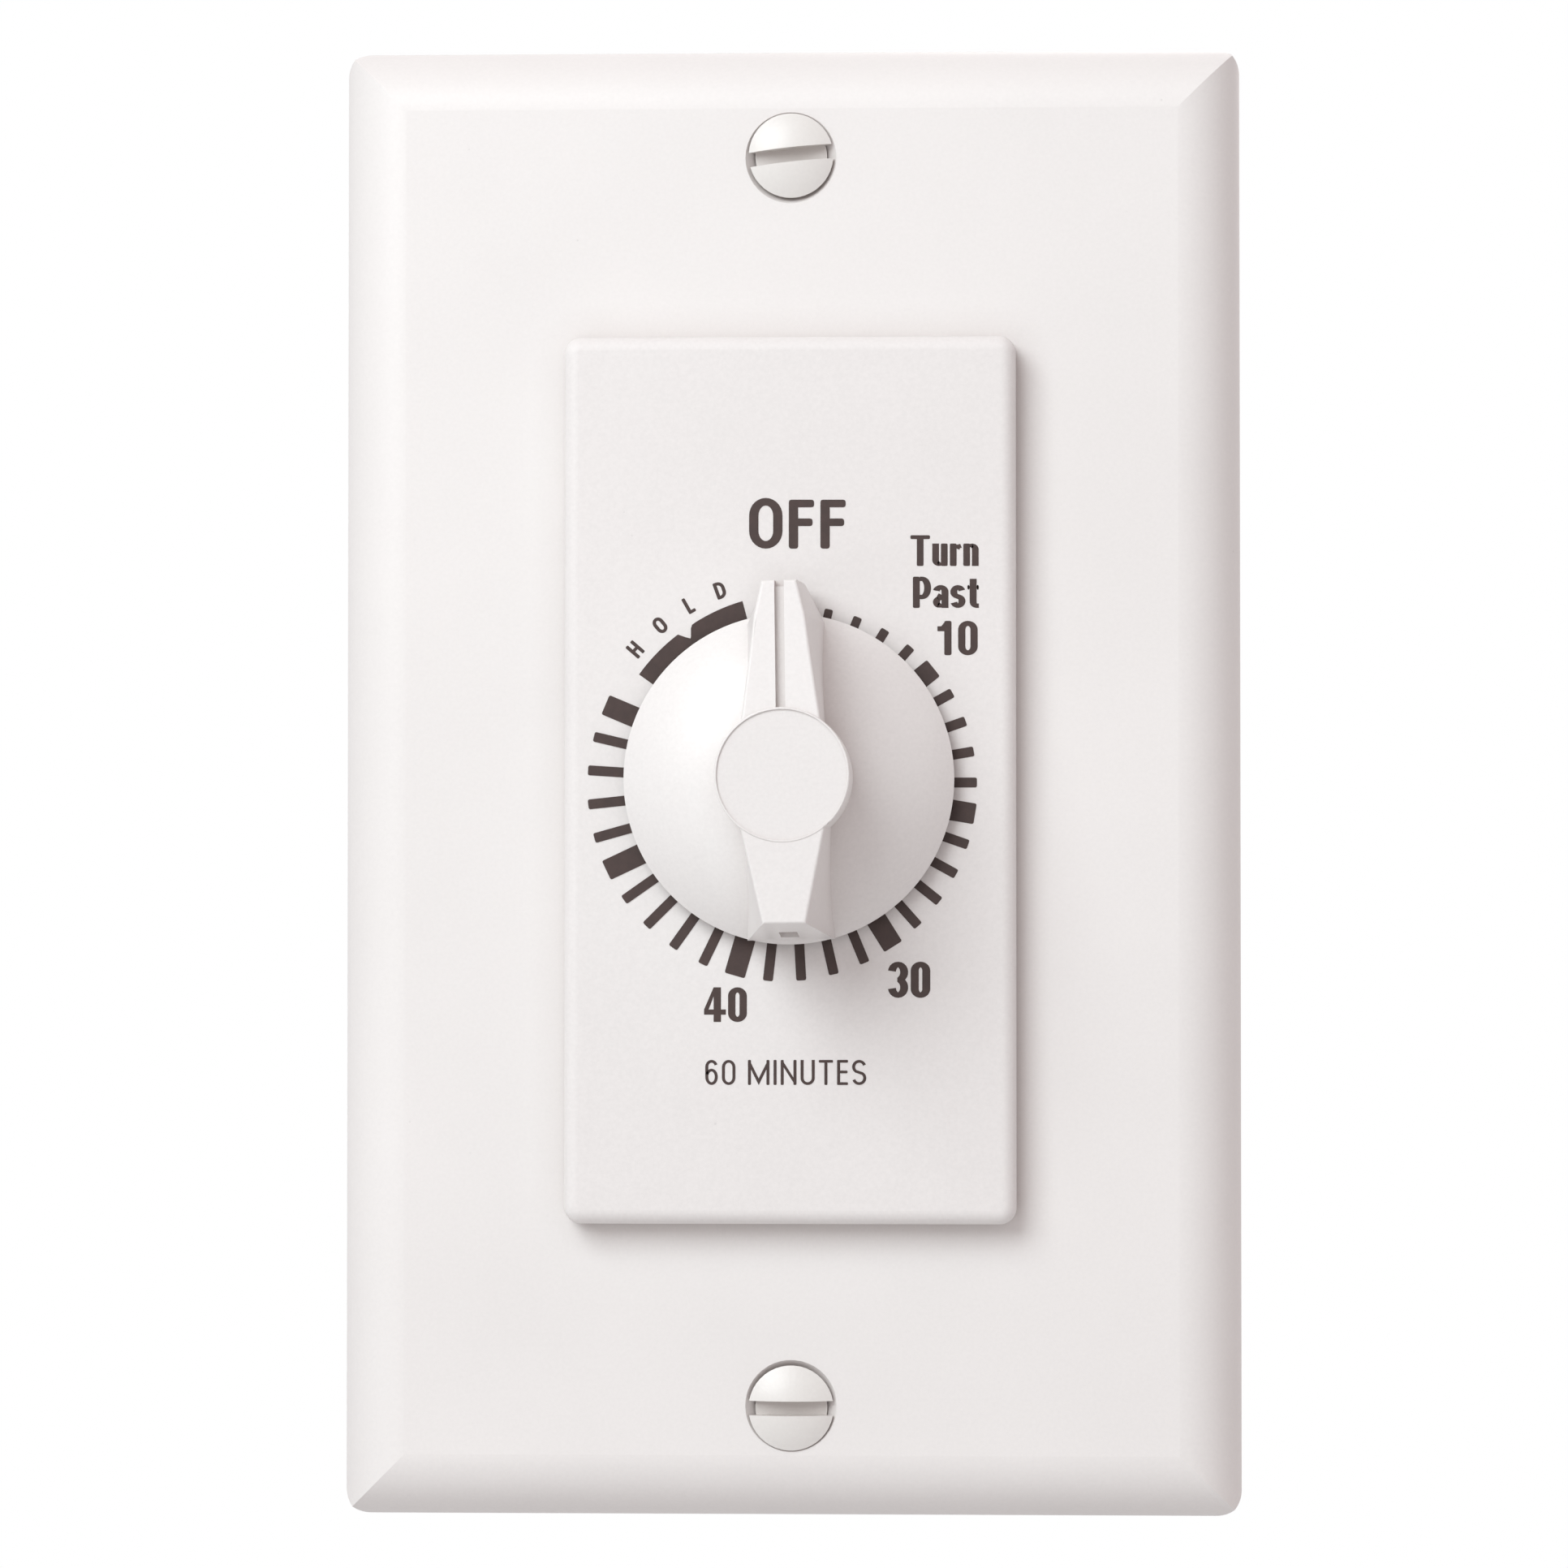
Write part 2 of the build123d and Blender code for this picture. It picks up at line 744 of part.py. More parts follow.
def knob_blade():
    """Bar across the knob: a grooved pointer above the hub and a notched tail below, with sloping sides."""
    face_shoulder_share = (pointer_shoulder_length - blade_face_root) / (pointer_face_reach - blade_face_root)
    face_shoulder = pointer_face_width + (pointer_face_tip_width - pointer_face_width) * face_shoulder_share
    face_shoulder += pointer_face_swell
    base = [
        (pointer_base_tip_width / 2, pointer_reach),
        (pointer_base_width / 2, pointer_shoulder_length),
        (pointer_base_width / 2, blade_face_root),
        (tail_base_width / 2, -blade_face_root),
        (tail_base_width / 2, -tail_reach),
    ]
    face = [
        (pointer_face_tip_width / 2, pointer_face_reach),
        (face_shoulder / 2, pointer_shoulder_length),
        (pointer_face_width / 2, blade_face_root),
        (tail_face_width / 2, -blade_face_root),
        (tail_face_tip_width / 2, -tail_face_reach),
    ]
    base_depth = knob_back - blade_base_lift
    blade = loft(
        [front_view(base_depth) * blade_outline(base), front_view(blade_face) * blade_outline(face)],
        ruled=True,
    )
    blade -= pointer_room(0, 4 * hub_radius)
    fronts = [face for face in blade.faces() if face.normal_at().Y < -cos(radians(front_face_lean))]
    blade = fillet(outer_edges(fronts), blade_edge_radius)
    blade -= pointer_room(pointer_groove_depth, pointer_groove_width)
    blade -= box_between(
        (-pointer_groove_width / 2, blade_face - cut_overrun, pointer_face_reach - pointer_gap_length),
        (pointer_groove_width / 2, blade_face + pointer_gap_depth, pointer_reach + cut_overrun),
    )
    notch_back = base_depth - tail_notch_lift
    notch_floor = -tail_face_reach + tail_notch_depth - (tail_reach - tail_face_reach) / 2
    blade -= box_between(
        (-tail_notch_width / 2, notch_back - tail_notch_height, -tail_reach - cut_overrun),
        (tail_notch_width / 2, notch_back, notch_floor),
    )
    return Rotation(0, -blade_skew, 0) * blade


def make_knob():
    """Knob in one moulding: domed skirt, two-ended blade, rimmed hub and a flatted socket."""
    knob = knob_skirt(knob_radius, knob_rim_height, knob_dome_height, knob_dome_crown, hub_radius, knob_back)
    under = knob_skirt(
        knob_radius - knob_wall,
        knob_rim_height,
        knob_dome_height - knob_wall,
        knob_dome_crown,
        hub_radius,
        knob_back,
    )
    knob -= under
    knob += knob_blade()
    hub = disc(hub_radius, hub_face, knob_back - knob_rim_height)
    hub = fillet(hub.faces().sort_by(Axis.Y)[0].edges(), hub_edge_radius)
    knob += hub
    knob -= disc(hub_radius - hub_rim_width, hub_face - cut_overrun, hub_face + hub_recess)
    for reach in (pointer_shoulder_length, -tail_face_reach):
        side = 1 if reach > 0 else -1
        end = reach - side * blade_pocket_wall
        start = side * (knob_boss_radius + blade_pocket_wall)
        pocket = Pos(0, (start + end) / 2) * Rectangle(blade_pocket_width, abs(end - start))
        knob -= prism(pocket, blade_face + 2 * blade_pocket_wall, knob_back + cut_overrun)
    knob += ring(knob_boss_radius, shaft_radius, hub_face + 2 * knob_wall, knob_back)
    socket = flatted(shaft_radius + running_gap, shaft_flat + knob_clip_room)
    return knob - prism(socket, -shaft_front_reach - loose_gap, knob_back + cut_overrun)


def make_knob_clip():
    """Bowed leaf between the shaft's flat and the flat of the knob's socket."""
    front = -shaft_front_reach + loose_gap
    back = knob_back - loose_gap
    near = -(shaft_flat + knob_clip_thick / 2 + running_gap)
    points = [(near - knob_clip_bow, front), (near, (front + back) / 2), (near - knob_clip_bow, back)]
    return bar_along_x(ribbon(points, knob_clip_thick), knob_clip_width)


# Shaft, bushing and clutch

def make_main_shaft():
    """Shaft from the knob to the cam: flatted front, spring hub, wheel seat and rear journal."""
    front = -shaft_front_reach
    shaft = prism(flatted(shaft_radius, shaft_flat), front, -bushing_reach - loose_gap)
    shaft += disc(shaft_radius, -bushing_reach - loose_gap, bushing_back)
    shaft += disc(spring_hub_radius, bushing_back + face_gap, great_wheel_front - running_gap)
    shaft += disc(shaft_radius, bushing_back, bushing_back + face_gap)
    shaft += disc(wheel_seat_radius, great_wheel_front - running_gap, clutch_ring_back)
    shaft += disc(rear_shaft_radius, clutch_ring_back, rear_plate_back + cam_gap)
    shaft += prism(flatted(rear_shaft_radius, cam_flat), rear_plate_back + cam_gap, cam_ring_back)
    groove = rear_shaft_radius - ring_groove_depth
    shaft -= ring(rear_shaft_radius + cut_overrun, groove, cam_back, cam_ring_back - seat_gap)
    groove = wheel_seat_radius - ring_groove_depth
    return shaft - ring(wheel_seat_radius + cut_overrun, groove, clutch_spring_back, clutch_ring_back)


def make_shaft_bushing():
    """Threaded bushing riveted in the front movement plate, in which the shaft turns."""
    bushing = disc(bushing_radius, -bushing_reach, front_plate_back)
    bushing += disc(bushing_flange_radius, front_plate_back, bushing_back)
    return bushing - disc(shaft_radius + running_gap, -bushing_reach - cut_overrun, bushing_back + cut_overrun)


def make_bushing_washer():
    """Flat washer under the bushing nut."""
    return ring(
        bushing_washer_radius, bushing_radius + running_gap, strap_front - bushing_washer_thick, strap_front
    )


def make_bushing_nut():
    """Hex nut that clamps the strap to the movement."""
    back = strap_front - bushing_washer_thick
    outline = hexagon(bushing_nut_flats) - Circle(bushing_radius + seat_gap)
    return prism(outline, back - bushing_nut_thick, back)


def retaining_ring(outer, inner, front, back):
    """Open spring ring that sits in a groove of the shaft."""
    gap = Pos(0, -outer) * Rectangle(inner, 2 * outer)
    return prism(Circle(outer) - Circle(inner) - gap, front, back)


def make_clutch_ring():
    """Ring that holds the clutch spring against the great wheel."""
    inner = wheel_seat_radius - ring_groove_depth + seat_gap
    return retaining_ring(clutch_ring_radius, inner, clutch_spring_back, clutch_ring_back)


def make_clutch_spring():
    """Dished washer that presses the great wheel to the shaft's shoulder."""
    inner = wheel_seat_radius + running_gap
    front = great_wheel_back
    return turned(
        [
            (inner, front + clutch_spring_rise),
            (clutch_spring_radius, front),
            (clutch_spring_radius, front + clutch_spring_thick),
            (inner, front + clutch_spring_rise + clutch_spring_thick),
        ]
    )


# Movement frame

def second_at():
    """Place of the second arbor."""
    return polar((great_teeth + pinion_leaves) * great_module / 2, second_bearing)


def third_at():
    """Place of the third arbor."""
    return polar((second_teeth + pinion_leaves) * second_module / 2, third_bearing, second_at())


def escape_at():
    """Place of the escape arbor."""
    return polar((third_teeth + pinion_leaves) * third_module / 2, escape_bearing, third_at())


def staff_at():
    """Place of the balance staff."""
    return polar(staff_distance, staff_bearing, escape_at())


def pillar_places():
    """Places of the four pillars."""
    return [(x * pillar_side, z * pillar_rise) for x in (1, -1) for z in (1, -1)]


def movement_plate_outline():
    """Outline of a movement plate with its pivot and pillar holes."""
    outline = RectangleRounded(movement_width, movement_height, movement_corner_radius)
    for at in (second_at(), third_at(), escape_at(), staff_at()):
        outline -= Pos(*at) * Circle(pivot_radius + running_gap)
    for at in pillar_places():
        outline -= Pos(*at) * Circle(pillar_stud_radius + seat_gap)
    return outline


def make_front_movement_plate():
    """Front plate of the movement, which carries the bushing and the mainspring post."""
    outline = movement_plate_outline() - Circle(bushing_radius + seat_gap)
    outline -= Pos(*mainspring_post_at()) * Circle(mainspring_post_tenon + seat_gap)
    return prism(outline, 0, front_plate_back)


def detent_foot_at():
    """Place of the screw that holds the detent spring."""
    return -(detent_foot_side + detent_foot_width / 2), detent_spring_top + detent_foot_height / 2


def hairspring_stud_at():
    """Place of the stud that holds the outer end of the hairspring."""
    reach = spiral_reach(hairspring_collet_radius, hairspring_pitch, hairspring_turns)
    reach += hairspring_thick + running_gap + hairspring_stud_radius
    return polar(reach, 0, staff_at())


def make_rear_movement_plate():
    """Rear plate of the movement, which carries the stop pin, the terminal block and the springs."""
    outline = movement_plate_outline() - Circle(rear_shaft_radius + running_gap)
    outline -= Pos(*polar(stop_pin_distance, stop_pin_bearing)) * Circle(stop_pin_radius + seat_gap)
    outline -= Pos(*detent_foot_at()) * Circle(detent_screw_radius + seat_gap)
    for drop in block_screw_drops:
        outline -= Pos(0, -drop) * Circle(block_screw_radius + seat_gap)
    return prism(outline, rear_plate_front, rear_plate_back)


def make_movement_pillars():
    """Four pillars between the plates, with a tenon in front and a threaded stud behind."""
    pillars = []
    for at in pillar_places():
        pillar = disc(pillar_stud_radius, 0, rear_plate_back + pillar_stud_reach, at)
        pillars.append(pillar + disc(pillar_radius, front_plate_back, rear_plate_front, at))
    return pillars


def make_rear_standoffs():
    """Four hexagonal standoffs between the rear plate and the housing's base."""
    outline = hexagon(standoff_flats) - Circle(pillar_stud_radius + seat_gap)
    return [prism(Pos(*at) * outline, rear_plate_back, base_front) for at in pillar_places()]


# Housing

def make_housing():
    """Moulded tub round the movement, open towards the strap, with a window for the terminal block."""
    outer = RectangleRounded(housing_width, housing_height, housing_corner_radius)
    inner = RectangleRounded(
        housing_width - 2 * housing_wall,
        housing_height - 2 * housing_wall,
        housing_corner_radius - housing_wall / 2,
    )
    tub = prism(outer, 0, base_back) - prism(inner, -cut_overrun, base_front)
    tub = fillet(tub.faces().sort_by(Axis.Y)[-1].edges(), housing_wall / 2)
    window = Rectangle(block_width + 2 * loose_gap, block_height + 2 * loose_gap)
    window = Pos(0, -block_drop - block_height / 2) * window
    tub -= prism(window, base_front - cut_overrun, base_back + cut_overrun)
    for at in pillar_places():
        tub -= disc(pillar_stud_radius + loose_gap, base_front - cut_overrun, base_back + cut_overrun, at)
    return tub


def make_housing_screws():
    """Four screws through the housing's base into the standoffs."""
    slot = (housing_screw_slot_width, housing_screw_slot_depth)
    screws = []
    for at in pillar_places():
        screw = slotted_pan_head(
            housing_screw_head_radius, housing_screw_head_height, 1, base_back, at, slot
        )
        screws.append(screw + disc(pillar_stud_radius, base_back - housing_screw_length, base_back, at))
    return screws


# Springs wound in a flat spiral

def spiral_reach(hub, pitch, turns):
    """Distance from the middle to the inner face of a spiral's outer end."""
    return hub + running_gap + pitch * turns


def spiral_outline(hub, pitch, turns, thick, post):
    """Flat spiral strip from a hub out to +X, ending in a hook round a post of the given radius.

    Half circles about two middles in turn make the strip, a half pitch larger each time.
    """
    start = hub + running_gap + pitch / 4
    middles = (-pitch / 4, pitch / 4)
    inside, outside = [], []
    for half in range(2 * turns):
        centre = middles[half % 2]
        radius = start + half * pitch / 2
        begin = 180 * (half % 2)
        for faces, extra in ((inside, 0), (outside, thick)):
            faces.append(
                ThreePointArc(
                    polar(radius + extra, begin, (centre, 0)),
                    polar(radius + extra, begin + 90, (centre, 0)),
                    polar(radius + extra, begin + 180, (centre, 0)),
                )
            )
    end = spiral_reach(hub, pitch, turns)
    hook = post + running_gap
    post_at = (end + thick + hook, 0)
    hook_end = -90
    for radius, faces in ((hook + thick, inside), (hook, outside)):
        faces.append(
            ThreePointArc(
                polar(radius, 180, post_at), polar(radius, (180 + hook_end) / 2, post_at),
                polar(radius, hook_end, post_at),
            )
        )
    edges = inside + outside
    edges.append(Line(inside[0] @ 0, outside[0] @ 0))
    edges.append(Line(inside[-1] @ 1, outside[-1] @ 1))
    return make_face(edges)


def mainspring_post_at():
    """Place of the post that holds the outer end of the mainspring."""
    reach = spiral_reach(spring_hub_radius, mainspring_pitch, mainspring_turns)
    return -(reach + mainspring_thick + running_gap + mainspring_post_radius), 0


def make_mainspring():
    """Power spring, from the shaft's hub out to the post on the front plate."""
    outline = spiral_outline(
        spring_hub_radius, mainspring_pitch, mainspring_turns, mainspring_thick, mainspring_post_radius
    )
    return prism(Rotation(0, 0, 180) * outline, mainspring_front, mainspring_back)


def make_mainspring_post():
    """Post riveted in the front plate."""
    at = mainspring_post_at()
    post = disc(mainspring_post_tenon, 0, front_plate_back, at)
    return post + disc(mainspring_post_radius, front_plate_back, mainspring_back + seat_gap, at)


def make_hairspring():
    """Fine spiral between the balance staff and the stud on the rear plate."""
    outline = spiral_outline(
        hairspring_collet_radius, hairspring_pitch, hairspring_turns, hairspring_thick, hairspring_stud_radius
    )
    return prism(Pos(*staff_at()) * outline, hairspring_front, hairspring_back)


def make_hairspring_stud():
    """Stud on the rear plate, hooked by the hairspring's outer end."""
    return disc(hairspring_stud_radius, hairspring_front, rear_plate_front, hairspring_stud_at())


# Wheels and arbors

def tooth_points(teeth, module, shares):
    """(radius, half angle) of a tooth's foot, pitch, middle and tip points."""
    thick, middle, tip, addendum, dedendum = shares
    pitch_radius = teeth * module / 2
    tip_radius = pitch_radius + addendum * module
    middle_radius = (pitch_radius + tip_radius) / 2
    half = degrees(thick * module / 2 / pitch_radius)
    return (
        (pitch_radius - dedendum * module, half),
        (pitch_radius, half),
        (middle_radius, degrees(middle * module / 2 / middle_radius)),
        (tip_radius, degrees(tip * module / 2 / tip_radius)),
    )


def gear_outline(teeth, module, shares, first_tooth):
    """Clock-gear outline: radial flanks to the pitch circle, arched tips beyond it."""
    foot, pitch, middle, tip = tooth_points(teeth, module, shares)
    step = 360 / teeth
    edges = []
    for i in range(teeth):
        at = first_tooth + i * step
        right = [polar(radius, at - half) for radius, half in (foot, pitch, middle, tip)]
        left = [polar(radius, at + half) for radius, half in (foot, pitch, middle, tip)]
        following = polar(foot[0], at + step - foot[1])
        edges.append(Line(right[0], right[1]))
        edges.append(ThreePointArc(right[1], right[2], right[3]))
        edges.append(Line(right[3], left[3]))
        edges.append(ThreePointArc(left[3], left[2], left[1]))
        edges.append(Line(left[1], left[0]))
        edges.append(Line(left[0], following))
    return make_face(edges)


def spoke_windows(inner, outer):
    """Openings between a wheel's spokes."""
    windows = Circle(outer) - Circle(inner)
    for i in range(spoke_count // 2):
        windows -= Rotation(0, 0, i * 360 / spoke_count) * Rectangle(2 * outer + spoke_width, spoke_width)
    return windows


def wheel(teeth, module, at, towards, bore, front, thick):
    """Toothed brass wheel with one tooth on the line towards its pinion."""
    outline = gear_outline(teeth, module, wheel_tooth_shares, bearing_to(at, towards))
    root = teeth * module / 2 - wheel_tooth_shares[4] * module
    outline -= spoke_windows(bore + wheel_hub, root - wheel_rim)
    outline -= Circle(bore)
    return prism(Pos(*at) * outline, front, front + thick)


def arbor(at, towards, module, pinion_front, pinion_back):
    """Arbor with its pinion, a gap between two leaves on the line towards its wheel."""
    first = bearing_to(at, towards) + 180 / pinion_leaves
    leaves = gear_outline(pinion_leaves, module, leaf_tooth_shares, first)
    body = disc(pivot_radius, 0, rear_plate_back, at)
    journal_front = front_plate_back + face_gap
    journal_back = rear_plate_front - face_gap
    body += disc(arbor_radius, journal_front, pinion_front, at)
    body += prism(Pos(*at) * leaves, pinion_front, pinion_back)
    body += disc(arbor_radius, pinion_back, journal_back, at)
    return body


def make_great_wheel():
    """First wheel, held on the shaft by the clutch."""
    return wheel(
        great_teeth, great_module, (0, 0), second_at(), wheel_seat_radius + running_gap,
        great_wheel_front, great_wheel_thick,
    )


def make_second_arbor():
    """Arbor driven by the great wheel."""
    return arbor(
        second_at(), (0, 0), great_module, great_wheel_front - train_gap, great_wheel_back + train_gap
    )


def make_second_wheel():
    """Wheel on the second arbor."""
    return wheel(
        second_teeth, second_module, second_at(), third_at(), arbor_radius + seat_gap,
        second_wheel_front, second_wheel_thick,
    )


def make_third_arbor():
    """Arbor driven by the second wheel."""
    return arbor(
        third_at(), second_at(), second_module, second_wheel_front - train_gap, second_wheel_back + train_gap
    )


def make_third_wheel():
    """Wheel on the third arbor."""
    return wheel(
        third_teeth, third_module, third_at(), escape_at(), arbor_radius + seat_gap,
        third_wheel_front, third_wheel_thick,
    )


def make_escape_arbor():
    """Arbor driven by the third wheel."""
    return arbor(
        escape_at(), third_at(), third_module, third_wheel_front - train_gap, third_wheel_back + train_gap
    )


def make_escape_wheel():
    """Escape wheel with pointed teeth, a gap between two of them facing the balance staff."""
    step = 360 / escape_teeth
    middle = bearing_to(escape_at(), staff_at())
    points = []
    for i in range(escape_teeth):
        at = middle + (i + 1 / 2) * step
        root = degrees(escape_root_width / 2 / escape_root_radius)
        tip = degrees(escape_tip_width / 2 / escape_radius)
        points.append(polar(escape_root_radius, at - root))
        points.append(polar(escape_radius, at - tip))
        points.append(polar(escape_radius, at + tip))
        points.append(polar(escape_root_radius, at + root))
    outline = make_face(Polyline(*points, close=True)) - Circle(arbor_radius + seat_gap)
    return prism(Pos(*escape_at()) * outline, escape_wheel_front, escape_wheel_back)


# Balance

def make_balance_staff():
    """Staff of the balance, with a collet for the hairspring."""
    at = staff_at()
    staff = disc(pivot_radius, 0, rear_plate_back, at)
    staff += disc(arbor_radius, front_plate_back + face_gap, rear_plate_front - face_gap, at)
    return staff + disc(hairspring_collet_radius, hairspring_front, hairspring_back, at)


def pallet_pin_places():
    """Places of the two pallet pins, just outside the escape wheel's tips."""
    reach = escape_radius + pallet_pin_radius + pallet_pin_gap
    half_span = pallet_span_teeth * 360 / escape_teeth / 2
    middle = bearing_to(escape_at(), staff_at())
    return [polar(reach, middle + side * half_span, escape_at()) for side in (1, -1)]


def make_pallet():
    """Two-armed pallet on the staff, with a pin on each arm beside the escape wheel."""
    hub = staff_at()
    outline = Pos(*hub) * Circle(pallet_hub_radius)
    for pin in pallet_pin_places():
        outline += ribbon([hub, pin], pallet_arm_width)
        outline += Pos(*pin) * Circle(pallet_arm_width / 2)
    pallet = prism(outline, pallet_front, pallet_back)
    pallet -= disc(arbor_radius + seat_gap, pallet_front - cut_overrun, pallet_back + cut_overrun, hub)
    for pin in pallet_pin_places():
        pallet += disc(pallet_pin_radius, escape_wheel_front - train_gap, pallet_back, pin)
    return pallet


def make_balance_wheel():
    """Balance rim on one cross arm."""
    outline = Circle(balance_radius) - Circle(balance_radius - balance_rim)
    outline += Rectangle(2 * balance_radius - balance_rim, balance_arm_width)
    outline += Circle(balance_hub_radius)
    outline -= Circle(arbor_radius + seat_gap)
    return prism(Pos(*staff_at()) * outline, balance_front, balance_back)


# Cam, stop and detent

def stop_lug_half_angle():
    """Half angle of the stop lug, which leaves the shaft free to turn by the hold angle."""
    pin_half = degrees(asin(stop_pin_radius / stop_pin_distance))
    return (360 - hold_angle) / 2 - pin_half - stop_clearance


def make_switch_cam():
    """Nylon cam: a stop lug in front, a detent disc in the middle and the switch cam behind."""
    lug_half = stop_lug_half_angle()
    lug_bearing = stop_pin_bearing - (360 - hold_angle) / 2
    wedge_reach = 2 * stop_lug_radius
    wedge = make_face(
        Polyline(
            (0, 0),
            polar(wedge_reach, lug_bearing - lug_half),
            polar(wedge_reach, lug_bearing + lug_half),
            close=True,
        )
    )
    flange = Circle(cam_hub_radius) + (wedge & Circle(stop_lug_radius))
    cam = prism(flange, stop_flange_front, detent_disc_front)
    notch = Rectangle(2 * detent_notch_depth, detent_notch_width)
    notch_bearing = detent_bearing + hold_angle
    notch_place = polar(detent_disc_radius, notch_bearing)
    detent = Circle(detent_disc_radius) - Pos(*notch_place) * Rotation(0, 0, notch_bearing) * notch
    cam += prism(detent, detent_disc_front, cam_front)
    dip = make_face(
        Polyline(
            (cam_radius - cam_notch_depth, -cam_notch_bottom_width / 2),
            (cam_radius, -cam_notch_top_width / 2),
            (cam_radius, cam_notch_top_width / 2),
            (cam_radius - cam_notch_depth, cam_notch_bottom_width / 2),
            close=True,
        )
    )
    lobe = Circle(cam_radius) - Rotation(0, 0, cam_notch_bearing) * dip
    cam += prism(lobe, cam_front, cam_back)
    bore = flatted(rear_shaft_radius + seat_gap, cam_flat + seat_gap)
    return cam - prism(bore, stop_flange_front - cut_overrun, cam_back + cut_overrun)


def make_cam_ring():
    """Ring that keeps the cam on the shaft."""
    inner = rear_shaft_radius - ring_groove_depth + seat_gap
    return retaining_ring(cam_ring_radius, inner, cam_back + seat_gap, cam_ring_back - 2 * seat_gap)


def make_stop_pin():
    """Pin in the rear plate that the cam's lug meets at both ends of its travel."""
    at = polar(stop_pin_distance, stop_pin_bearing)
    return disc(stop_pin_radius, rear_plate_front, detent_disc_front - face_gap, at)


def make_hold_detent_spring():
    """Leaf spring whose nose drops into the cam's notch and holds the knob at HOLD."""
    nose = -(detent_disc_radius + running_gap + detent_spring_thick)
    points = [
        (-detent_foot_side, detent_spring_top + detent_foot_height / 2),
        (-detent_foot_side, detent_spring_top - detent_foot_height / 2),
        (-detent_spring_side, detent_nose_half_height),
        (nose, 0),
        (-detent_spring_side, -detent_nose_half_height),
    ]
    leaf = prism(ribbon(points, detent_spring_thick), detent_disc_front + face_gap, cam_front - face_gap)
    post = ribbon([(-detent_foot_side, detent_spring_top), points[0]], detent_spring_thick)
    leaf += prism(post, rear_plate_back, cam_front - face_gap)
    foot = Pos(*detent_foot_at()) * Rectangle(detent_foot_width, detent_foot_height)
    leaf += prism(foot, rear_plate_back, rear_plate_back + detent_spring_thick)
    hole = disc(
        detent_screw_radius + running_gap,
        rear_plate_back - cut_overrun,
        rear_plate_back + cut_overrun,
        detent_foot_at(),
    )
    return leaf - hole


def make_detent_screw():
    """Screw that holds the foot of the detent spring."""
    at = detent_foot_at()
    seat = rear_plate_back + detent_spring_thick
    slot = (housing_screw_slot_width, housing_screw_slot_depth / 2)
    screw = slotted_pan_head(detent_screw_head_radius, detent_screw_head_height, 1, seat, at, slot)
    return screw + disc(detent_screw_radius, seat - detent_screw_length / 2, seat, at)


# Terminal block and switch

def terminal_sides():
    """The two hands of the switch: line on the left, load on the right."""
    return (-1, 1)


def tail_face():
    """Distance from the middle plane to the outer face of a terminal plate's tail."""
    return blade_leg_side - blade_thick / 2 - seat_gap


def make_terminal_block():
    """Insulating block behind the rear plate, with a terminal pocket on each side at its back."""
    middle = -block_drop - block_height / 2
    block = prism(Pos(0, middle) * Rectangle(block_width, block_height), rear_plate_back, block_back)
    slot_out = blade_leg_side + blade_thick / 2 + seat_gap
    slot_in = tail_face() - terminal_plate_thick - seat_gap
    for hand in terminal_sides():
        pocket_height = block_height - pocket_wall + cut_overrun
        pocket = Rectangle(pocket_width, pocket_height)
        place = (hand * pocket_side, -block_drop - pocket_wall - pocket_height / 2)
        block -= prism(Pos(*place) * pocket, pocket_floor, block_back + cut_overrun)
        slot = Rectangle(slot_out - slot_in, blade_slot_drop + cut_overrun)
        place = (hand * (slot_out + slot_in) / 2, -block_drop + (cut_overrun - blade_slot_drop) / 2)
        block -= prism(Pos(*place) * slot, blade_front - face_gap, terminal_pad_back + face_gap)
        screw_place = (hand * pocket_side, -terminal_pad_drop)
        hole_front = terminal_pad_back - terminal_screw_length - face_gap
        block -= disc(screw_radius + seat_gap, hole_front, block_back, screw_place)
    for drop in block_screw_drops:
        block -= disc(block_screw_radius + seat_gap, rear_plate_back - cut_overrun, block_back, (0, -drop))
        block -= disc(
            block_screw_head_radius + loose_gap,
            block_back - block_screw_head_height - face_gap,
            block_back + cut_overrun,
            (0, -drop),
        )
    return block


def make_block_screws():
    """Two screws through the block into the rear plate."""
    seat = block_back - block_screw_head_height - face_gap
    slot = (housing_screw_slot_width, housing_screw_slot_depth / 2)
    screws = []
    for drop in block_screw_drops:
        at = (0, -drop)
        screw = slotted_pan_head(block_screw_head_radius, block_screw_head_height, 1, seat, at, slot)
        screws.append(screw + disc(block_screw_radius, rear_plate_front, seat, at))
    return screws


def make_moving_blade():
    """Bronze blade with a follower bump in the cam's notch and a leg down into the block."""
    points = [
        (-blade_leg_side, -blade_leg_drop),
        (-blade_leg_side, -moving_blade_drop),
        (-moving_bump_half_width, -moving_blade_drop),
        (0, -moving_bump_drop - blade_thick),
        (moving_bump_half_width, -moving_blade_drop),
        (moving_blade_end, -moving_blade_drop),
    ]
    return prism(ribbon(points, blade_thick), blade_front, blade_back)


def make_fixed_blade():
    """Stiff blade below the moving one, with a leg down into the block."""
    points = [
        (blade_leg_side, -blade_leg_drop),
        (blade_leg_side, -fixed_blade_drop),
        (fixed_blade_end, -fixed_blade_drop),
    ]
    return prism(ribbon(points, blade_thick), blade_front, blade_back)


def contact_button(top, bottom):
    """Contact button with its axis upright, between two drops below the shaft."""
    middle = (contact_side, (blade_front + blade_back) / 2, -(top + bottom) / 2)
    return Pos(*middle) * Cylinder(contact_radius, bottom - top)


def make_moving_contact():
    """Button under the moving blade."""
    top = moving_blade_drop + blade_thick / 2
    return contact_button(top, top + contact_height)


def make_fixed_contact():
    """Button on the fixed blade."""
    bottom = fixed_blade_drop - blade_thick / 2
    return contact_button(bottom - contact_height, bottom)


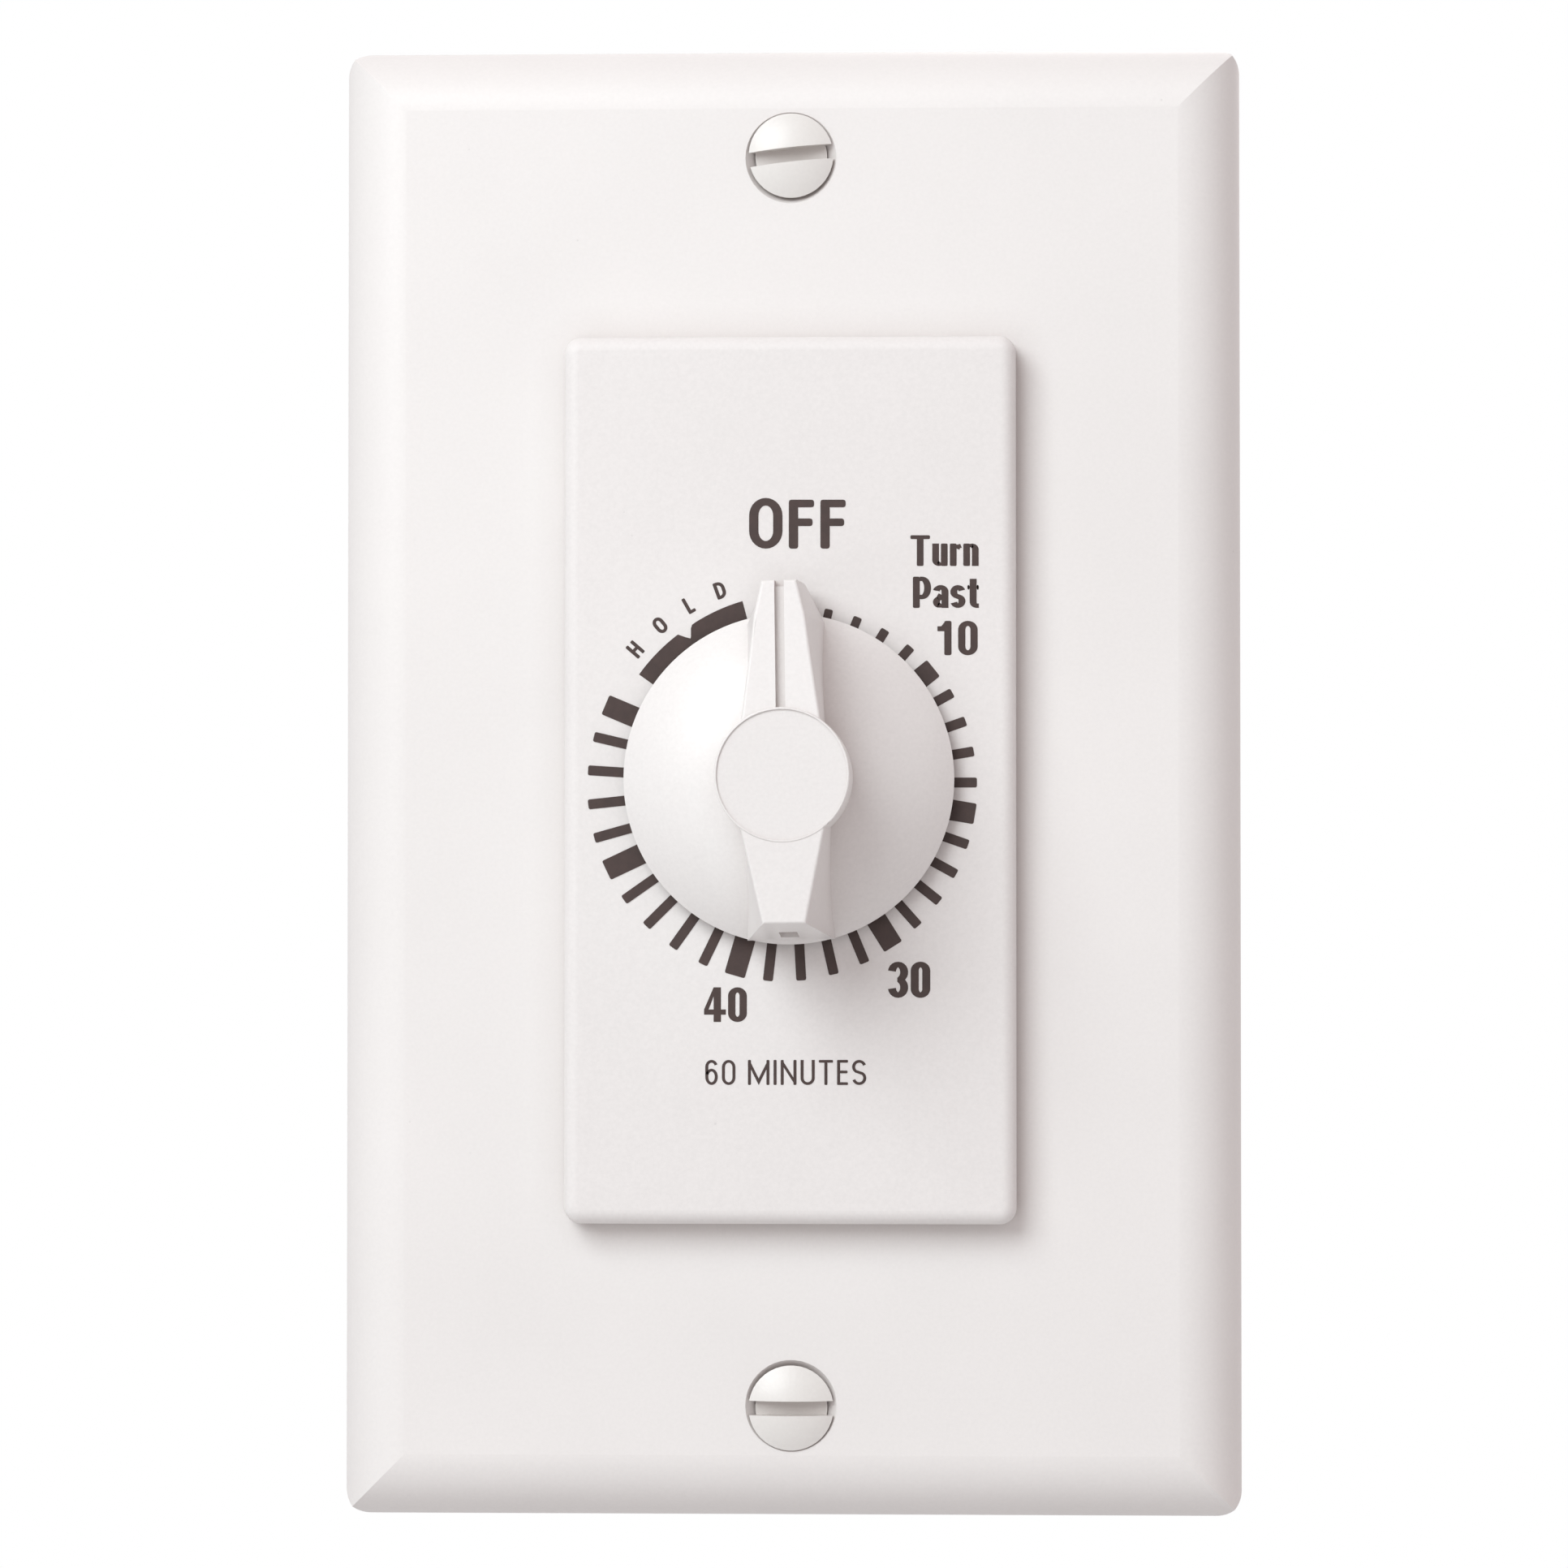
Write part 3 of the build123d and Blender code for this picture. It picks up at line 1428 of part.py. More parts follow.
def make_terminal_plates():
    """Two brass plates: a pad under each terminal screw and a tail forward to the blade's leg."""
    plates = []
    for hand in terminal_sides():
        outer = tail_face()
        inner = pocket_side - pocket_width / 2 + face_gap
        pad = Rectangle(outer - inner, terminal_pad_height)
        pad = Pos(hand * (outer + inner) / 2, -terminal_pad_drop) * pad
        plate = prism(pad, pocket_floor, terminal_pad_back)
        top = block_drop + seat_gap
        bottom = block_drop + blade_slot_drop - face_gap
        tail = Pos(hand * (outer - terminal_plate_thick / 2), -(top + bottom) / 2)
        tail *= Rectangle(terminal_plate_thick, bottom - top)
        plate += prism(tail, blade_front, terminal_pad_back)
        hole = disc(
            screw_radius + seat_gap,
            pocket_floor - cut_overrun,
            terminal_pad_back + cut_overrun,
            (hand * pocket_side, -terminal_pad_drop),
        )
        plates.append(plate - hole)
    return plates


def make_terminal_screws():
    """Two binding-head screws for the line and load wires."""
    slot = (terminal_screw_slot_width, terminal_screw_slot_depth)
    screws = []
    for hand in terminal_sides():
        at = (hand * pocket_side, -terminal_pad_drop)
        screw = slotted_pan_head(
            terminal_screw_head_radius, terminal_screw_head_height, 1, terminal_pad_back, at, slot
        )
        shank = disc(screw_radius, terminal_pad_back - terminal_screw_length, terminal_pad_back, at)
        screws.append(screw + shank)
    return screws


MAKERS = {
    "wall_plate": make_wall_plate,
    "plate_screws": make_plate_screws,
    "mounting_strap": make_mounting_strap,
    "box_screws": make_box_screws,
    "box_screw_washers": make_box_screw_washers,
    "ground_screw": make_ground_screw,
    "dial_plate": make_dial_plate,
    "knob": make_knob,
    "knob_clip": make_knob_clip,
    "main_shaft": make_main_shaft,
    "shaft_bushing": make_shaft_bushing,
    "bushing_washer": make_bushing_washer,
    "bushing_nut": make_bushing_nut,
    "clutch_spring": make_clutch_spring,
    "clutch_ring": make_clutch_ring,
    "front_movement_plate": make_front_movement_plate,
    "rear_movement_plate": make_rear_movement_plate,
    "movement_pillars": make_movement_pillars,
    "rear_standoffs": make_rear_standoffs,
    "housing": make_housing,
    "housing_screws": make_housing_screws,
    "mainspring": make_mainspring,
    "mainspring_post": make_mainspring_post,
    "great_wheel": make_great_wheel,
    "second_arbor": make_second_arbor,
    "second_wheel": make_second_wheel,
    "third_arbor": make_third_arbor,
    "third_wheel": make_third_wheel,
    "escape_arbor": make_escape_arbor,
    "escape_wheel": make_escape_wheel,
    "balance_staff": make_balance_staff,
    "pallet": make_pallet,
    "balance_wheel": make_balance_wheel,
    "hairspring": make_hairspring,
    "hairspring_stud": make_hairspring_stud,
    "switch_cam": make_switch_cam,
    "cam_ring": make_cam_ring,
    "stop_pin": make_stop_pin,
    "hold_detent_spring": make_hold_detent_spring,
    "detent_screw": make_detent_screw,
    "terminal_block": make_terminal_block,
    "block_screws": make_block_screws,
    "moving_blade": make_moving_blade,
    "fixed_blade": make_fixed_blade,
    "moving_contact": make_moving_contact,
    "fixed_contact": make_fixed_contact,
    "terminal_plates": make_terminal_plates,
    "terminal_screws": make_terminal_screws,
}


def write_parts():
    """Make every sub-part and write it to its own STEP file."""
    os.makedirs("parts", exist_ok=True)
    for node, maker in MAKERS.items():
        made = maker()
        if isinstance(made, list):
            made = Compound(children=[solid for piece in made for solid in piece.solids()])
        export_step(made, f"parts/{node}.step")


write_parts()
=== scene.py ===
"""Looks of the spring-wound timer switch: camera, light, materials, printed dial, screw threads.

All lengths are in metres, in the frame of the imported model: the wall is the plane y = 0, the room
lies towards -Y, +X is to the right and +Z is up. What is printed on the dial is given in pixels
of the photograph, which is IMAGE pixels wide and high.
"""

import json
from math import atan2, ceil, cos, degrees, hypot, pi, radians, sin

import bmesh
import bpy
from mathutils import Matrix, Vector


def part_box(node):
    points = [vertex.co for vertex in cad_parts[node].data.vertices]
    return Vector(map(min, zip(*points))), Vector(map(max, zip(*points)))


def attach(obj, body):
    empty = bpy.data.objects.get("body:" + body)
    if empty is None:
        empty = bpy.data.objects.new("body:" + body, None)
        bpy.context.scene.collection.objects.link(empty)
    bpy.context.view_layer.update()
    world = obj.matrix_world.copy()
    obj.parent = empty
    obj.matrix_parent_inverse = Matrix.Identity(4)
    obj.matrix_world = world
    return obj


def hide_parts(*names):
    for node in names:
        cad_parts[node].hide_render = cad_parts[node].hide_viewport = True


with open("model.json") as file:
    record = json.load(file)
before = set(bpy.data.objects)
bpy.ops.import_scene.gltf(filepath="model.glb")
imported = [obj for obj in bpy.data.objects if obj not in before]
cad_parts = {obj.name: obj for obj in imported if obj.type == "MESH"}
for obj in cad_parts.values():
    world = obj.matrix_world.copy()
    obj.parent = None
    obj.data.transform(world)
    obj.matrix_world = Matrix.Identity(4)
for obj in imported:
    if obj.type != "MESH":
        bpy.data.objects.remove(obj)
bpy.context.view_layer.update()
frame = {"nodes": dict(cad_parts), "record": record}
nodes = frame["nodes"]
scene = bpy.context.scene
scene.view_settings.view_transform = "Standard"
mm = 0.001

FRAME_BODY = "switch_frame"
DIAL_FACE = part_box("dial_plate")[0][1]


# Camera

IMAGE = 1932
CAMERA_PLACE = Vector((0.0170, -0.450, -0.0102))
CAMERA_AZIMUTH = radians(2.262)
CAMERA_ELEVATION = radians(-1.278)
CAMERA_LENS = 131.6
CAMERA_SENSOR = 36.0
CAMERA_CLIP = 0.01


def make_camera():
    """Camera at the photograph's viewing angle."""
    data = bpy.data.cameras.new("camera")
    data.lens = CAMERA_LENS
    data.sensor_width = CAMERA_SENSOR
    data.clip_start = CAMERA_CLIP
    camera = bpy.data.objects.new("camera", data)
    level = cos(CAMERA_ELEVATION)
    away = Vector(
        (level * sin(CAMERA_AZIMUTH), -level * cos(CAMERA_AZIMUTH), sin(CAMERA_ELEVATION))
    )
    camera.location = CAMERA_PLACE
    camera.rotation_euler = (-away).to_track_quat("-Z", "Y").to_euler()
    scene.collection.objects.link(camera)
    scene.camera = camera
    return camera


CAMERA = make_camera()


def at_pixel(px, py, depth):
    """Point (x, z) at y = depth on the line of sight through a pixel of the photograph."""
    half = CAMERA_SENSOR / 2 / CAMERA_LENS
    turn = CAMERA.rotation_euler.to_matrix()
    line = turn @ Vector(((px / IMAGE * 2 - 1) * half, (1 - py / IMAGE * 2) * half, -1.0))
    reach = (depth - CAMERA.location.y) / line.y
    spot = CAMERA.location + reach * line
    return spot.x, spot.z


# Light and surroundings

WORLD_COLOUR = (1.0, 0.855, 0.845)
WORLD_FILL = 0.41  # mean strength of the world's light
WORLD_LEAN = (0.36, 0.0, 0.30)  # the side that more of it comes from


def node(tree, kind, **values):
    """New shader node with its input values set."""
    made = tree.nodes.new(kind)
    for key, value in values.items():
        made.inputs[key.replace("_", " ")].default_value = value
    return made


def worked_out(tree, kind, operation, first, second):
    """Value of a math node for a socket and a second socket, number or vector."""
    made = tree.nodes.new(kind)
    made.operation = operation
    tree.links.new(first, made.inputs[0])
    if isinstance(second, bpy.types.NodeSocket):
        tree.links.new(second, made.inputs[1])
    else:
        made.inputs[1].default_value = second
    return made.outputs["Value"]


def spread(tree, value, given, wanted):
    """Value carried from one range (at 0, at 1) to another, and held inside it."""
    made = node(tree, "ShaderNodeMapRange", From_Min=given[0], From_Max=given[1])
    made.inputs["To Min"].default_value = wanted[0]
    made.inputs["To Max"].default_value = wanted[1]
    tree.links.new(value, made.inputs["Value"])
    return made.outputs[0]


def lamp(name, place, size, power, colour):
    """Square soft light that points at the origin."""
    data = bpy.data.lights.new(name, "AREA")
    data.shape = "SQUARE"
    data.size = size
    data.energy = power
    data.color = colour
    item = bpy.data.objects.new(name, data)
    item.location = place
    item.rotation_euler = (-Vector(place)).to_track_quat("-Z", "Y").to_euler()
    scene.collection.objects.link(item)


def seen_directly(tree):
    """1 for camera, mirror and transmission rays, 0 for light that spreads."""
    path = tree.nodes.new("ShaderNodeLightPath")
    seen = path.outputs["Is Camera Ray"]
    for ray in ("Is Glossy Ray", "Is Transmission Ray"):
        seen = worked_out(tree, "ShaderNodeMath", "MAXIMUM", seen, path.outputs[ray])
    return seen


def white_world():
    """Pale world that the camera and the reflections see as white."""
    world = bpy.data.worlds.new("studio")
    scene.world = world
    world.use_nodes = True
    tree = world.node_tree
    tree.nodes.clear()
    link = tree.links.new
    out = tree.nodes.new("ShaderNodeOutputWorld")
    mix = tree.nodes.new("ShaderNodeMixShader")
    fill = node(tree, "ShaderNodeBackground", Color=(*WORLD_COLOUR, 1))
    white = node(tree, "ShaderNodeBackground", Color=(1, 1, 1, 1), Strength=1.0)
    way = tree.nodes.new("ShaderNodeTexCoord").outputs["Generated"]
    lean = worked_out(tree, "ShaderNodeVectorMath", "DOT_PRODUCT", way, WORLD_LEAN)
    link(spread(tree, lean, (-1.0, 1.0), (0.0, 2 * WORLD_FILL)), fill.inputs["Strength"])
    link(seen_directly(tree), mix.inputs["Fac"])
    link(fill.outputs[0], mix.inputs[1])
    link(white.outputs[0], mix.inputs[2])
    link(mix.outputs[0], out.inputs["Surface"])


white_world()
lamp("key", (-0.377, -0.685, 0.445), size=0.58, power=5.85, colour=(0.935, 0.99, 1.0))
lamp("back_fill", (0.30, 0.62, 0.42), size=0.60, power=2.4, colour=(1.0, 1.0, 1.0))


# Materials

NOISE_ROUGHNESS = 0.55
MIX_FACTOR, MIX_FIRST, MIX_SECOND, MIX_COLOUR = 0, 6, 7, 2  # sockets of a colour mix
SHAPE_SAMPLES = 4  # of the nodes that look at the shape nearby
WEAR_LIKENESS = (0.995, 0.85)  # of the true and the rounded normal: no wear, full wear
# Painted shade: the plastic's colour is darkened towards a brown-grey in corners, gaps and slots,
# where shade falls
PAINTED_SHADE_OPENNESS = (0.95, 0.25)  # of the space round a point: no painted shade, full painted shade
PAINTED_SHADE_REACH = 3 * mm
PAINTED_SHADE_COLOUR = (0.35, 0.265, 0.240)
SPECKS_PER_METRE = 420.0
SPECK_SHADE = 0.35
PLASTIC_IOR = 1.49
PLASTIC_SPECULAR = 0.6
INK_ROUGHNESS = 0.6
INK_SPECULAR = 0.5


def start_material(name):
    """Empty material with a principled shader, its output and object coordinates."""
    mat = bpy.data.materials.new(name)
    mat.use_nodes = True
    tree = mat.node_tree
    tree.nodes.clear()
    shader = tree.nodes.new("ShaderNodeBsdfPrincipled")
    out = tree.nodes.new("ShaderNodeOutputMaterial")
    tree.links.new(shader.outputs[0], out.inputs["Surface"])
    coords = tree.nodes.new("ShaderNodeTexCoord")
    return mat, tree, shader, coords.outputs["Object"]


def noise_of(tree, coords, per_metre, detail, stretch=None):
    """Noise between 0 and 1 with that many features per metre."""
    if stretch is not None:
        scale = node(tree, "ShaderNodeMapping", Scale=stretch)
        tree.links.new(coords, scale.inputs["Vector"])
        coords = scale.outputs[0]
    made = node(tree, "ShaderNodeTexNoise", Scale=per_metre, Detail=detail)
    made.inputs["Roughness"].default_value = NOISE_ROUGHNESS
    tree.links.new(coords, made.inputs["Vector"])
    return made.outputs["Fac"]


def ramp_of(tree, value, low, high, colour_low, colour_high):
    """Colours between two levels of a value."""
    made = tree.nodes.new("ShaderNodeValToRGB")
    made.color_ramp.elements[0].position = low
    made.color_ramp.elements[1].position = high
    made.color_ramp.elements[0].color = (*colour_low, 1)
    made.color_ramp.elements[1].color = (*colour_high, 1)
    tree.links.new(value, made.inputs["Fac"])
    return made.outputs["Color"]


def mixed(tree, factor, first, second, how="MIX"):
    """Two colours mixed by a factor; each of the three is a constant or a socket."""
    made = tree.nodes.new("ShaderNodeMix")
    made.data_type = "RGBA"
    made.blend_type = how
    for place, value in ((MIX_FACTOR, factor), (MIX_FIRST, first), (MIX_SECOND, second)):
        socket = made.inputs[place]
        if isinstance(value, bpy.types.NodeSocket):
            tree.links.new(value, socket)
        elif isinstance(value, tuple):
            socket.default_value = (*value, 1)
        else:
            socket.default_value = value
    return made.outputs[MIX_COLOUR]


def multiplied(tree, first, second):
    """Product of two colours."""
    return mixed(tree, 1.0, first, second, "MULTIPLY")


def bumped(tree, shader, layers):
    """Bump layers of (height socket, strength, distance) in turn."""
    before = None
    for height, strength, distance in layers:
        made = node(tree, "ShaderNodeBump", Strength=strength, Distance=distance)
        tree.links.new(height, made.inputs["Height"])
        if before is not None:
            tree.links.new(before, made.inputs["Normal"])
        before = made.outputs["Normal"]
    tree.links.new(before, shader.inputs["Normal"])


def skin(tree, shader, tint, blotch, roughness):
    """Base colour, and a roughness that follows a noise between two levels."""
    tree.links.new(tint, shader.inputs["Base Color"])
    tree.links.new(spread(tree, blotch, (0.0, 1.0), roughness), shader.inputs["Roughness"])


def scaled(colour, factor):
    """Colour made lighter or darker."""
    return tuple(min(1.0, c * factor) for c in colour)


def grey(level):
    """Grey of one level."""
    return (level,) * 3


def edge_wear(tree, width, high):
    """Mask of the edges, as wide as asked, from 0 away from them up to high."""
    shape = tree.nodes.new("ShaderNodeNewGeometry").outputs["Normal"]
    rounded = node(tree, "ShaderNodeBevel", Radius=width)
    rounded.samples = SHAPE_SAMPLES
    rounded = rounded.outputs["Normal"]
    alike = worked_out(tree, "ShaderNodeVectorMath", "DOT_PRODUCT", shape, rounded)
    return spread(tree, alike, WEAR_LIKENESS, (0.0, high))


def painted_recess_shade(tree, high):
    """Mask of painted shade in corners, gaps and slots: 0 in the open, high deep inside."""
    near = node(tree, "ShaderNodeAmbientOcclusion", Distance=PAINTED_SHADE_REACH)
    near.samples = SHAPE_SAMPLES
    return spread(tree, near.outputs["AO"], PAINTED_SHADE_OPENNESS, (0.0, high))


def plastic(name, colour, rough, grain=0.02, specks=0.16, bump=0.10, painted_shade=0.30):
    """Moulded plastic: mottling, fine grain, dark specks, painted shade in recesses, uneven gloss.
    """
    mat, tree, shader, coords = start_material(name)
    broad = noise_of(tree, coords, per_metre=55.0, detail=2.0)
    fine = noise_of(tree, coords, per_metre=3600.0, detail=2.0)
    mottle = ramp_of(tree, broad, 0.3, 0.7, scaled(colour, 0.985), scaled(colour, 1.01))
    grained = ramp_of(tree, fine, 0.25, 0.75, grey(1 - grain), grey(1.0))
    grained = multiplied(tree, mottle, grained)
    spots = node(tree, "ShaderNodeTexVoronoi", Scale=SPECKS_PER_METRE)
    tree.links.new(coords, spots.inputs["Vector"])
    dots = ramp_of(tree, spots.outputs["Distance"], 0.028, 0.05, grey(1.0), grey(0.0))
    patches = noise_of(tree, coords, per_metre=130.0, detail=1.0)
    few = ramp_of(tree, patches, 0.60, 0.64, grey(0.0), grey(specks))
    tint = mixed(tree, multiplied(tree, dots, few), grained, scaled(colour, SPECK_SHADE))
    # painted shade: the colour is darkened in recesses, corners and gaps
    tint = mixed(tree, painted_recess_shade(tree, painted_shade), tint, PAINTED_SHADE_COLOUR)
    skin(tree, shader, tint, broad, (rough - 0.05, rough + 0.07))
    shader.inputs["IOR"].default_value = PLASTIC_IOR
    shader.inputs["Specular IOR Level"].default_value = PLASTIC_SPECULAR
    ripple = noise_of(tree, coords, per_metre=900.0, detail=3.0)
    bumped(tree, shader, [(ripple, bump * 0.6, 0.02 * mm), (fine, bump, 0.01 * mm)])
    return mat


def metal(name, colour, rough, grain=0.08, stretch=(1, 1, 14), per_metre=900.0, tarnish=0.25):
    """Rolled or turned metal: drawn grain, blotchy tarnish and brighter worn edges."""
    mat, tree, shader, coords = start_material(name)
    drawn = noise_of(tree, coords, per_metre, detail=4.0, stretch=stretch)
    blotch = noise_of(tree, coords, per_metre=190.0, detail=3.0)
    base = ramp_of(tree, blotch, 0.35, 0.7, colour, scaled(colour, 1 - tarnish))
    base = multiplied(tree, base, ramp_of(tree, drawn, 0.3, 0.7, grey(1 - grain), grey(1.0)))
    worn = edge_wear(tree, width=0.2 * mm, high=0.7)
    base = mixed(tree, worn, base, scaled(colour, 1.25))
    skin(tree, shader, base, blotch, (rough - 0.06, rough + 0.14))
    shader.inputs["Metallic"].default_value = 1.0
    bumped(tree, shader, [(drawn, 0.12, 0.01 * mm), (blotch, 0.08, 0.02 * mm)])
    return mat


def phenolic(name, colour, rough):
    """Dark moulded resin: flecked filler, dull skin and paler rubbed edges."""
    mat, tree, shader, coords = start_material(name)
    fleck = noise_of(tree, coords, per_metre=2400.0, detail=4.0)
    broad = noise_of(tree, coords, per_metre=70.0, detail=3.0)
    base = ramp_of(tree, fleck, 0.42, 0.72, colour, scaled(colour, 1.7))
    base = multiplied(tree, base, ramp_of(tree, broad, 0.3, 0.7, grey(0.82), grey(1.0)))
    rubbed = edge_wear(tree, width=0.3 * mm, high=0.5)
    base = mixed(tree, rubbed, base, scaled(colour, 2.6))
    skin(tree, shader, base, broad, (rough - 0.08, rough + 0.08))
    bumped(tree, shader, [(fleck, 0.16, 0.02 * mm), (broad, 0.10, 0.1 * mm)])
    return mat


def ink(name, colour):
    """Printed ink: near-black brown, a little uneven."""
    mat, tree, shader, coords = start_material(name)
    patch = noise_of(tree, coords, per_metre=1500.0, detail=3.0)
    base = ramp_of(tree, patch, 0.3, 0.75, colour, scaled(colour, 1.35))
    tree.links.new(base, shader.inputs["Base Color"])
    shader.inputs["Roughness"].default_value = INK_ROUGHNESS
    shader.inputs["Specular IOR Level"].default_value = INK_SPECULAR
    bumped(tree, shader, [(patch, 0.10, 0.01 * mm)])
    return mat


FLOOR_LEVEL = -0.125
FLOOR_REACH = 3.0  # to the left, to the right and in front
FLOOR_BACK = 0.45
FLOOR_BOUNCE = grey(0.60)  # colour for the light that it spreads
FLOOR_SHOWN = (0.48, 0.50, 0.505)  # colour for the camera and in reflections
FLOOR_GLOW = 0.42  # glow that only these see
FLOOR_ROUGHNESS = 0.9


def pale_floor():
    """Plain pale floor under the switch."""
    mesh = bpy.data.meshes.new("floor")
    corners = ((-FLOOR_REACH, -FLOOR_REACH), (FLOOR_REACH, -FLOOR_REACH),
               (FLOOR_REACH, FLOOR_BACK), (-FLOOR_REACH, FLOOR_BACK))
    mesh.from_pydata([(x, y, FLOOR_LEVEL) for x, y in corners], [], [(0, 1, 2, 3)])
    floor = bpy.data.objects.new("floor", mesh)
    scene.collection.objects.link(floor)
    mat, tree, shader, _ = start_material("floor_white")
    shown = seen_directly(tree)
    tint = mixed(tree, shown, FLOOR_BOUNCE, FLOOR_SHOWN)
    glow = worked_out(tree, "ShaderNodeMath", "MULTIPLY", shown, FLOOR_GLOW)
    tree.links.new(glow, shader.inputs["Emission Strength"])
    shader.inputs["Emission Color"].default_value = (1, 1, 1, 1)
    tree.links.new(tint, shader.inputs["Base Color"])
    shader.inputs["Roughness"].default_value = FLOOR_ROUGHNESS
    mesh.materials.append(mat)


pale_floor()

# the last number of a plastic sets how dark its painted shade in recesses gets
LOOKS = {
    "plate_plastic": (plastic, {"colour": (0.877, 0.860, 0.848), "rough": 0.40, "grain": 0.03}),
    "dial_plastic": (plastic, {"colour": (0.858, 0.838, 0.828), "rough": 0.50, "grain": 0.05,
                               "bump": 0.2, "painted_shade": 0.12}),
    "knob_plastic": (plastic, {"colour": (0.884, 0.867, 0.856), "rough": 0.42, "grain": 0.05,
                               "specks": 0.3, "bump": 0.2}),
    "screw_paint": (plastic, {"colour": (0.83, 0.815, 0.79), "rough": 0.36, "grain": 0.03,
                              "bump": 0.2}),
    "housing_plastic": (phenolic, {"colour": (0.020, 0.020, 0.022), "rough": 0.42}),
    "block_plastic": (phenolic, {"colour": (0.055, 0.036, 0.028), "rough": 0.5}),
    "cam_plastic": (plastic, {"colour": (0.72, 0.69, 0.60), "rough": 0.38}),
    "zinc_steel": (metal, {"colour": (0.56, 0.57, 0.57), "rough": 0.36}),
    "bright_steel": (metal, {"colour": (0.60, 0.60, 0.61), "rough": 0.24, "grain": 0.1,
                             "stretch": (1, 14, 1), "per_metre": 1500.0, "tarnish": 0.12}),
    "spring_steel": (metal, {"colour": (0.16, 0.17, 0.21), "rough": 0.32, "grain": 0.12,
                             "stretch": (1, 1, 1), "per_metre": 700.0, "tarnish": 0.4}),
    "brass": (metal, {"colour": (0.72, 0.49, 0.19), "rough": 0.33}),
    "bronze": (metal, {"colour": (0.66, 0.36, 0.17), "rough": 0.36}),
    "contact_silver": (metal, {"colour": (0.78, 0.77, 0.74), "rough": 0.3}),
    "green_screw": (metal, {"colour": (0.045, 0.24, 0.085), "rough": 0.33}),
    "fibre": (phenolic, {"colour": (0.20, 0.045, 0.03), "rough": 0.7}),
}
MATERIALS = {name: make(name, **look) for name, (make, look) in LOOKS.items()}
INK = ink("dial_ink", (0.041, 0.023, 0.020))
SLOTS = {entry["node"]: entry["material_slot"] for entry in frame["record"]["subparts"]}

for name, obj in nodes.items():
    for spot in obj.material_slots:
        spot.material = MATERIALS[SLOTS[name]]

WELD_REACH = 0.001 * mm
SOFT_WIDTH = 0.10 * mm
SOFT_ANGLE = 32.0


def soften(obj):
    """Small rounded edges, worked out by modifiers on the welded mesh."""
    weld = obj.modifiers.new("weld", "WELD")
    weld.merge_threshold = WELD_REACH
    bevel = obj.modifiers.new("bevel", "BEVEL")
    bevel.width = SOFT_WIDTH
    bevel.segments = 2
    bevel.limit_method = "ANGLE"
    bevel.angle_limit = radians(SOFT_ANGLE)
    even = obj.modifiers.new("even_normals", "WEIGHTED_NORMAL")
    even.keep_sharp = True


# Printed dial

def add_mesh(name, mesh, material, body=FRAME_BODY):
    """Links a mesh as a piece that rides on a body."""
    obj = bpy.data.objects.new(name, mesh)
    scene.collection.objects.link(obj)
    mesh.materials.append(material)
    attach(obj, body)
    return obj


INK_THICK = 0.02 * mm
INK_STEP = 0.0006 * mm  # keeps shapes that overlap apart


class Print:
    """Flat printed shapes, gathered in one thin mesh on the dial's face."""

    def __init__(self):
        self.mesh = bmesh.new()
        self.front = DIAL_FACE - INK_THICK

    def next_layer(self):
        """Depth of the front of the next shape, a hair above the one before it."""
        self.front -= INK_STEP
        return self.front

    def polygon(self, spots):
        """Thin plate of a closed outline of (x, z) points."""
        top = self.next_layer()
        pairs = zip(spots, spots[1:] + spots[:1])
        area = sum(a[0] * b[1] - b[0] * a[1] for a, b in pairs)
        if area < 0:
            spots = spots[::-1]
        front = [self.mesh.verts.new((x, top, z)) for x, z in spots]
        back = [self.mesh.verts.new((x, DIAL_FACE, z)) for x, z in spots]
        self.mesh.faces.new(front)
        self.mesh.faces.new(back[::-1])
        count = len(spots)
        for i in range(count):
            j = (i + 1) % count
            self.mesh.faces.new((front[j], front[i], back[i], back[j]))

    def band(self, left, right, closed=False):
        """Thin plate between two lines of (x, z) points."""
        top = self.next_layer()
        rows = []
        for a, b in zip(left, right):
            around = ((a[0], top, a[1]), (b[0], top, b[1]),
                      (b[0], DIAL_FACE, b[1]), (a[0], DIAL_FACE, a[1]))
            rows.append([self.mesh.verts.new(spot) for spot in around])
        pairs = list(zip(rows, rows[1:]))
        if closed:
            pairs.append((rows[-1], rows[0]))
        for one, two in pairs:
            for k in range(4):
                m = (k + 1) % 4
                self.mesh.faces.new((one[k], one[m], two[m], two[k]))
        if not closed:
            self.mesh.faces.new(rows[0][::-1])
            self.mesh.faces.new(rows[-1])

    def finish(self, name):
        """Ends the mesh and links it."""
        bmesh.ops.recalc_face_normals(self.mesh, faces=self.mesh.faces[:])
        mesh = bpy.data.meshes.new(name)
        self.mesh.to_mesh(mesh)
        self.mesh.free()
        add_mesh(name, mesh, INK)


MARK_AXIS = (974.05, 964.7)  # the shaft's axis, which the marks point at
MARK_RING = (963.76, 969.17)  # middle of the circle that the marks end on
MARK_COUNT = 30
MARK_WIDE_EVERY = 5
MARK_INNER = 190.0
MARK_OUTER = 240.0
MARK_START = 12.5
MARK_STEP = 9.67
MARK_NARROW = 12.2
MARK_WIDE = 25.6
MARK_CORNER = 2.4
FIRST_SHORTER = 14.0  # the first mark is so much shorter, and the next ones less and less
FIRST_SHORT_COUNT = 5.2
FIRST_NARROWER = 1.8  # and so much narrower
NARROWER_STEP = 0.45


def on_dial(px, py):
    """Point on the dial's face under a pixel of the photograph."""
    return at_pixel(px, py, DIAL_FACE - INK_THICK)


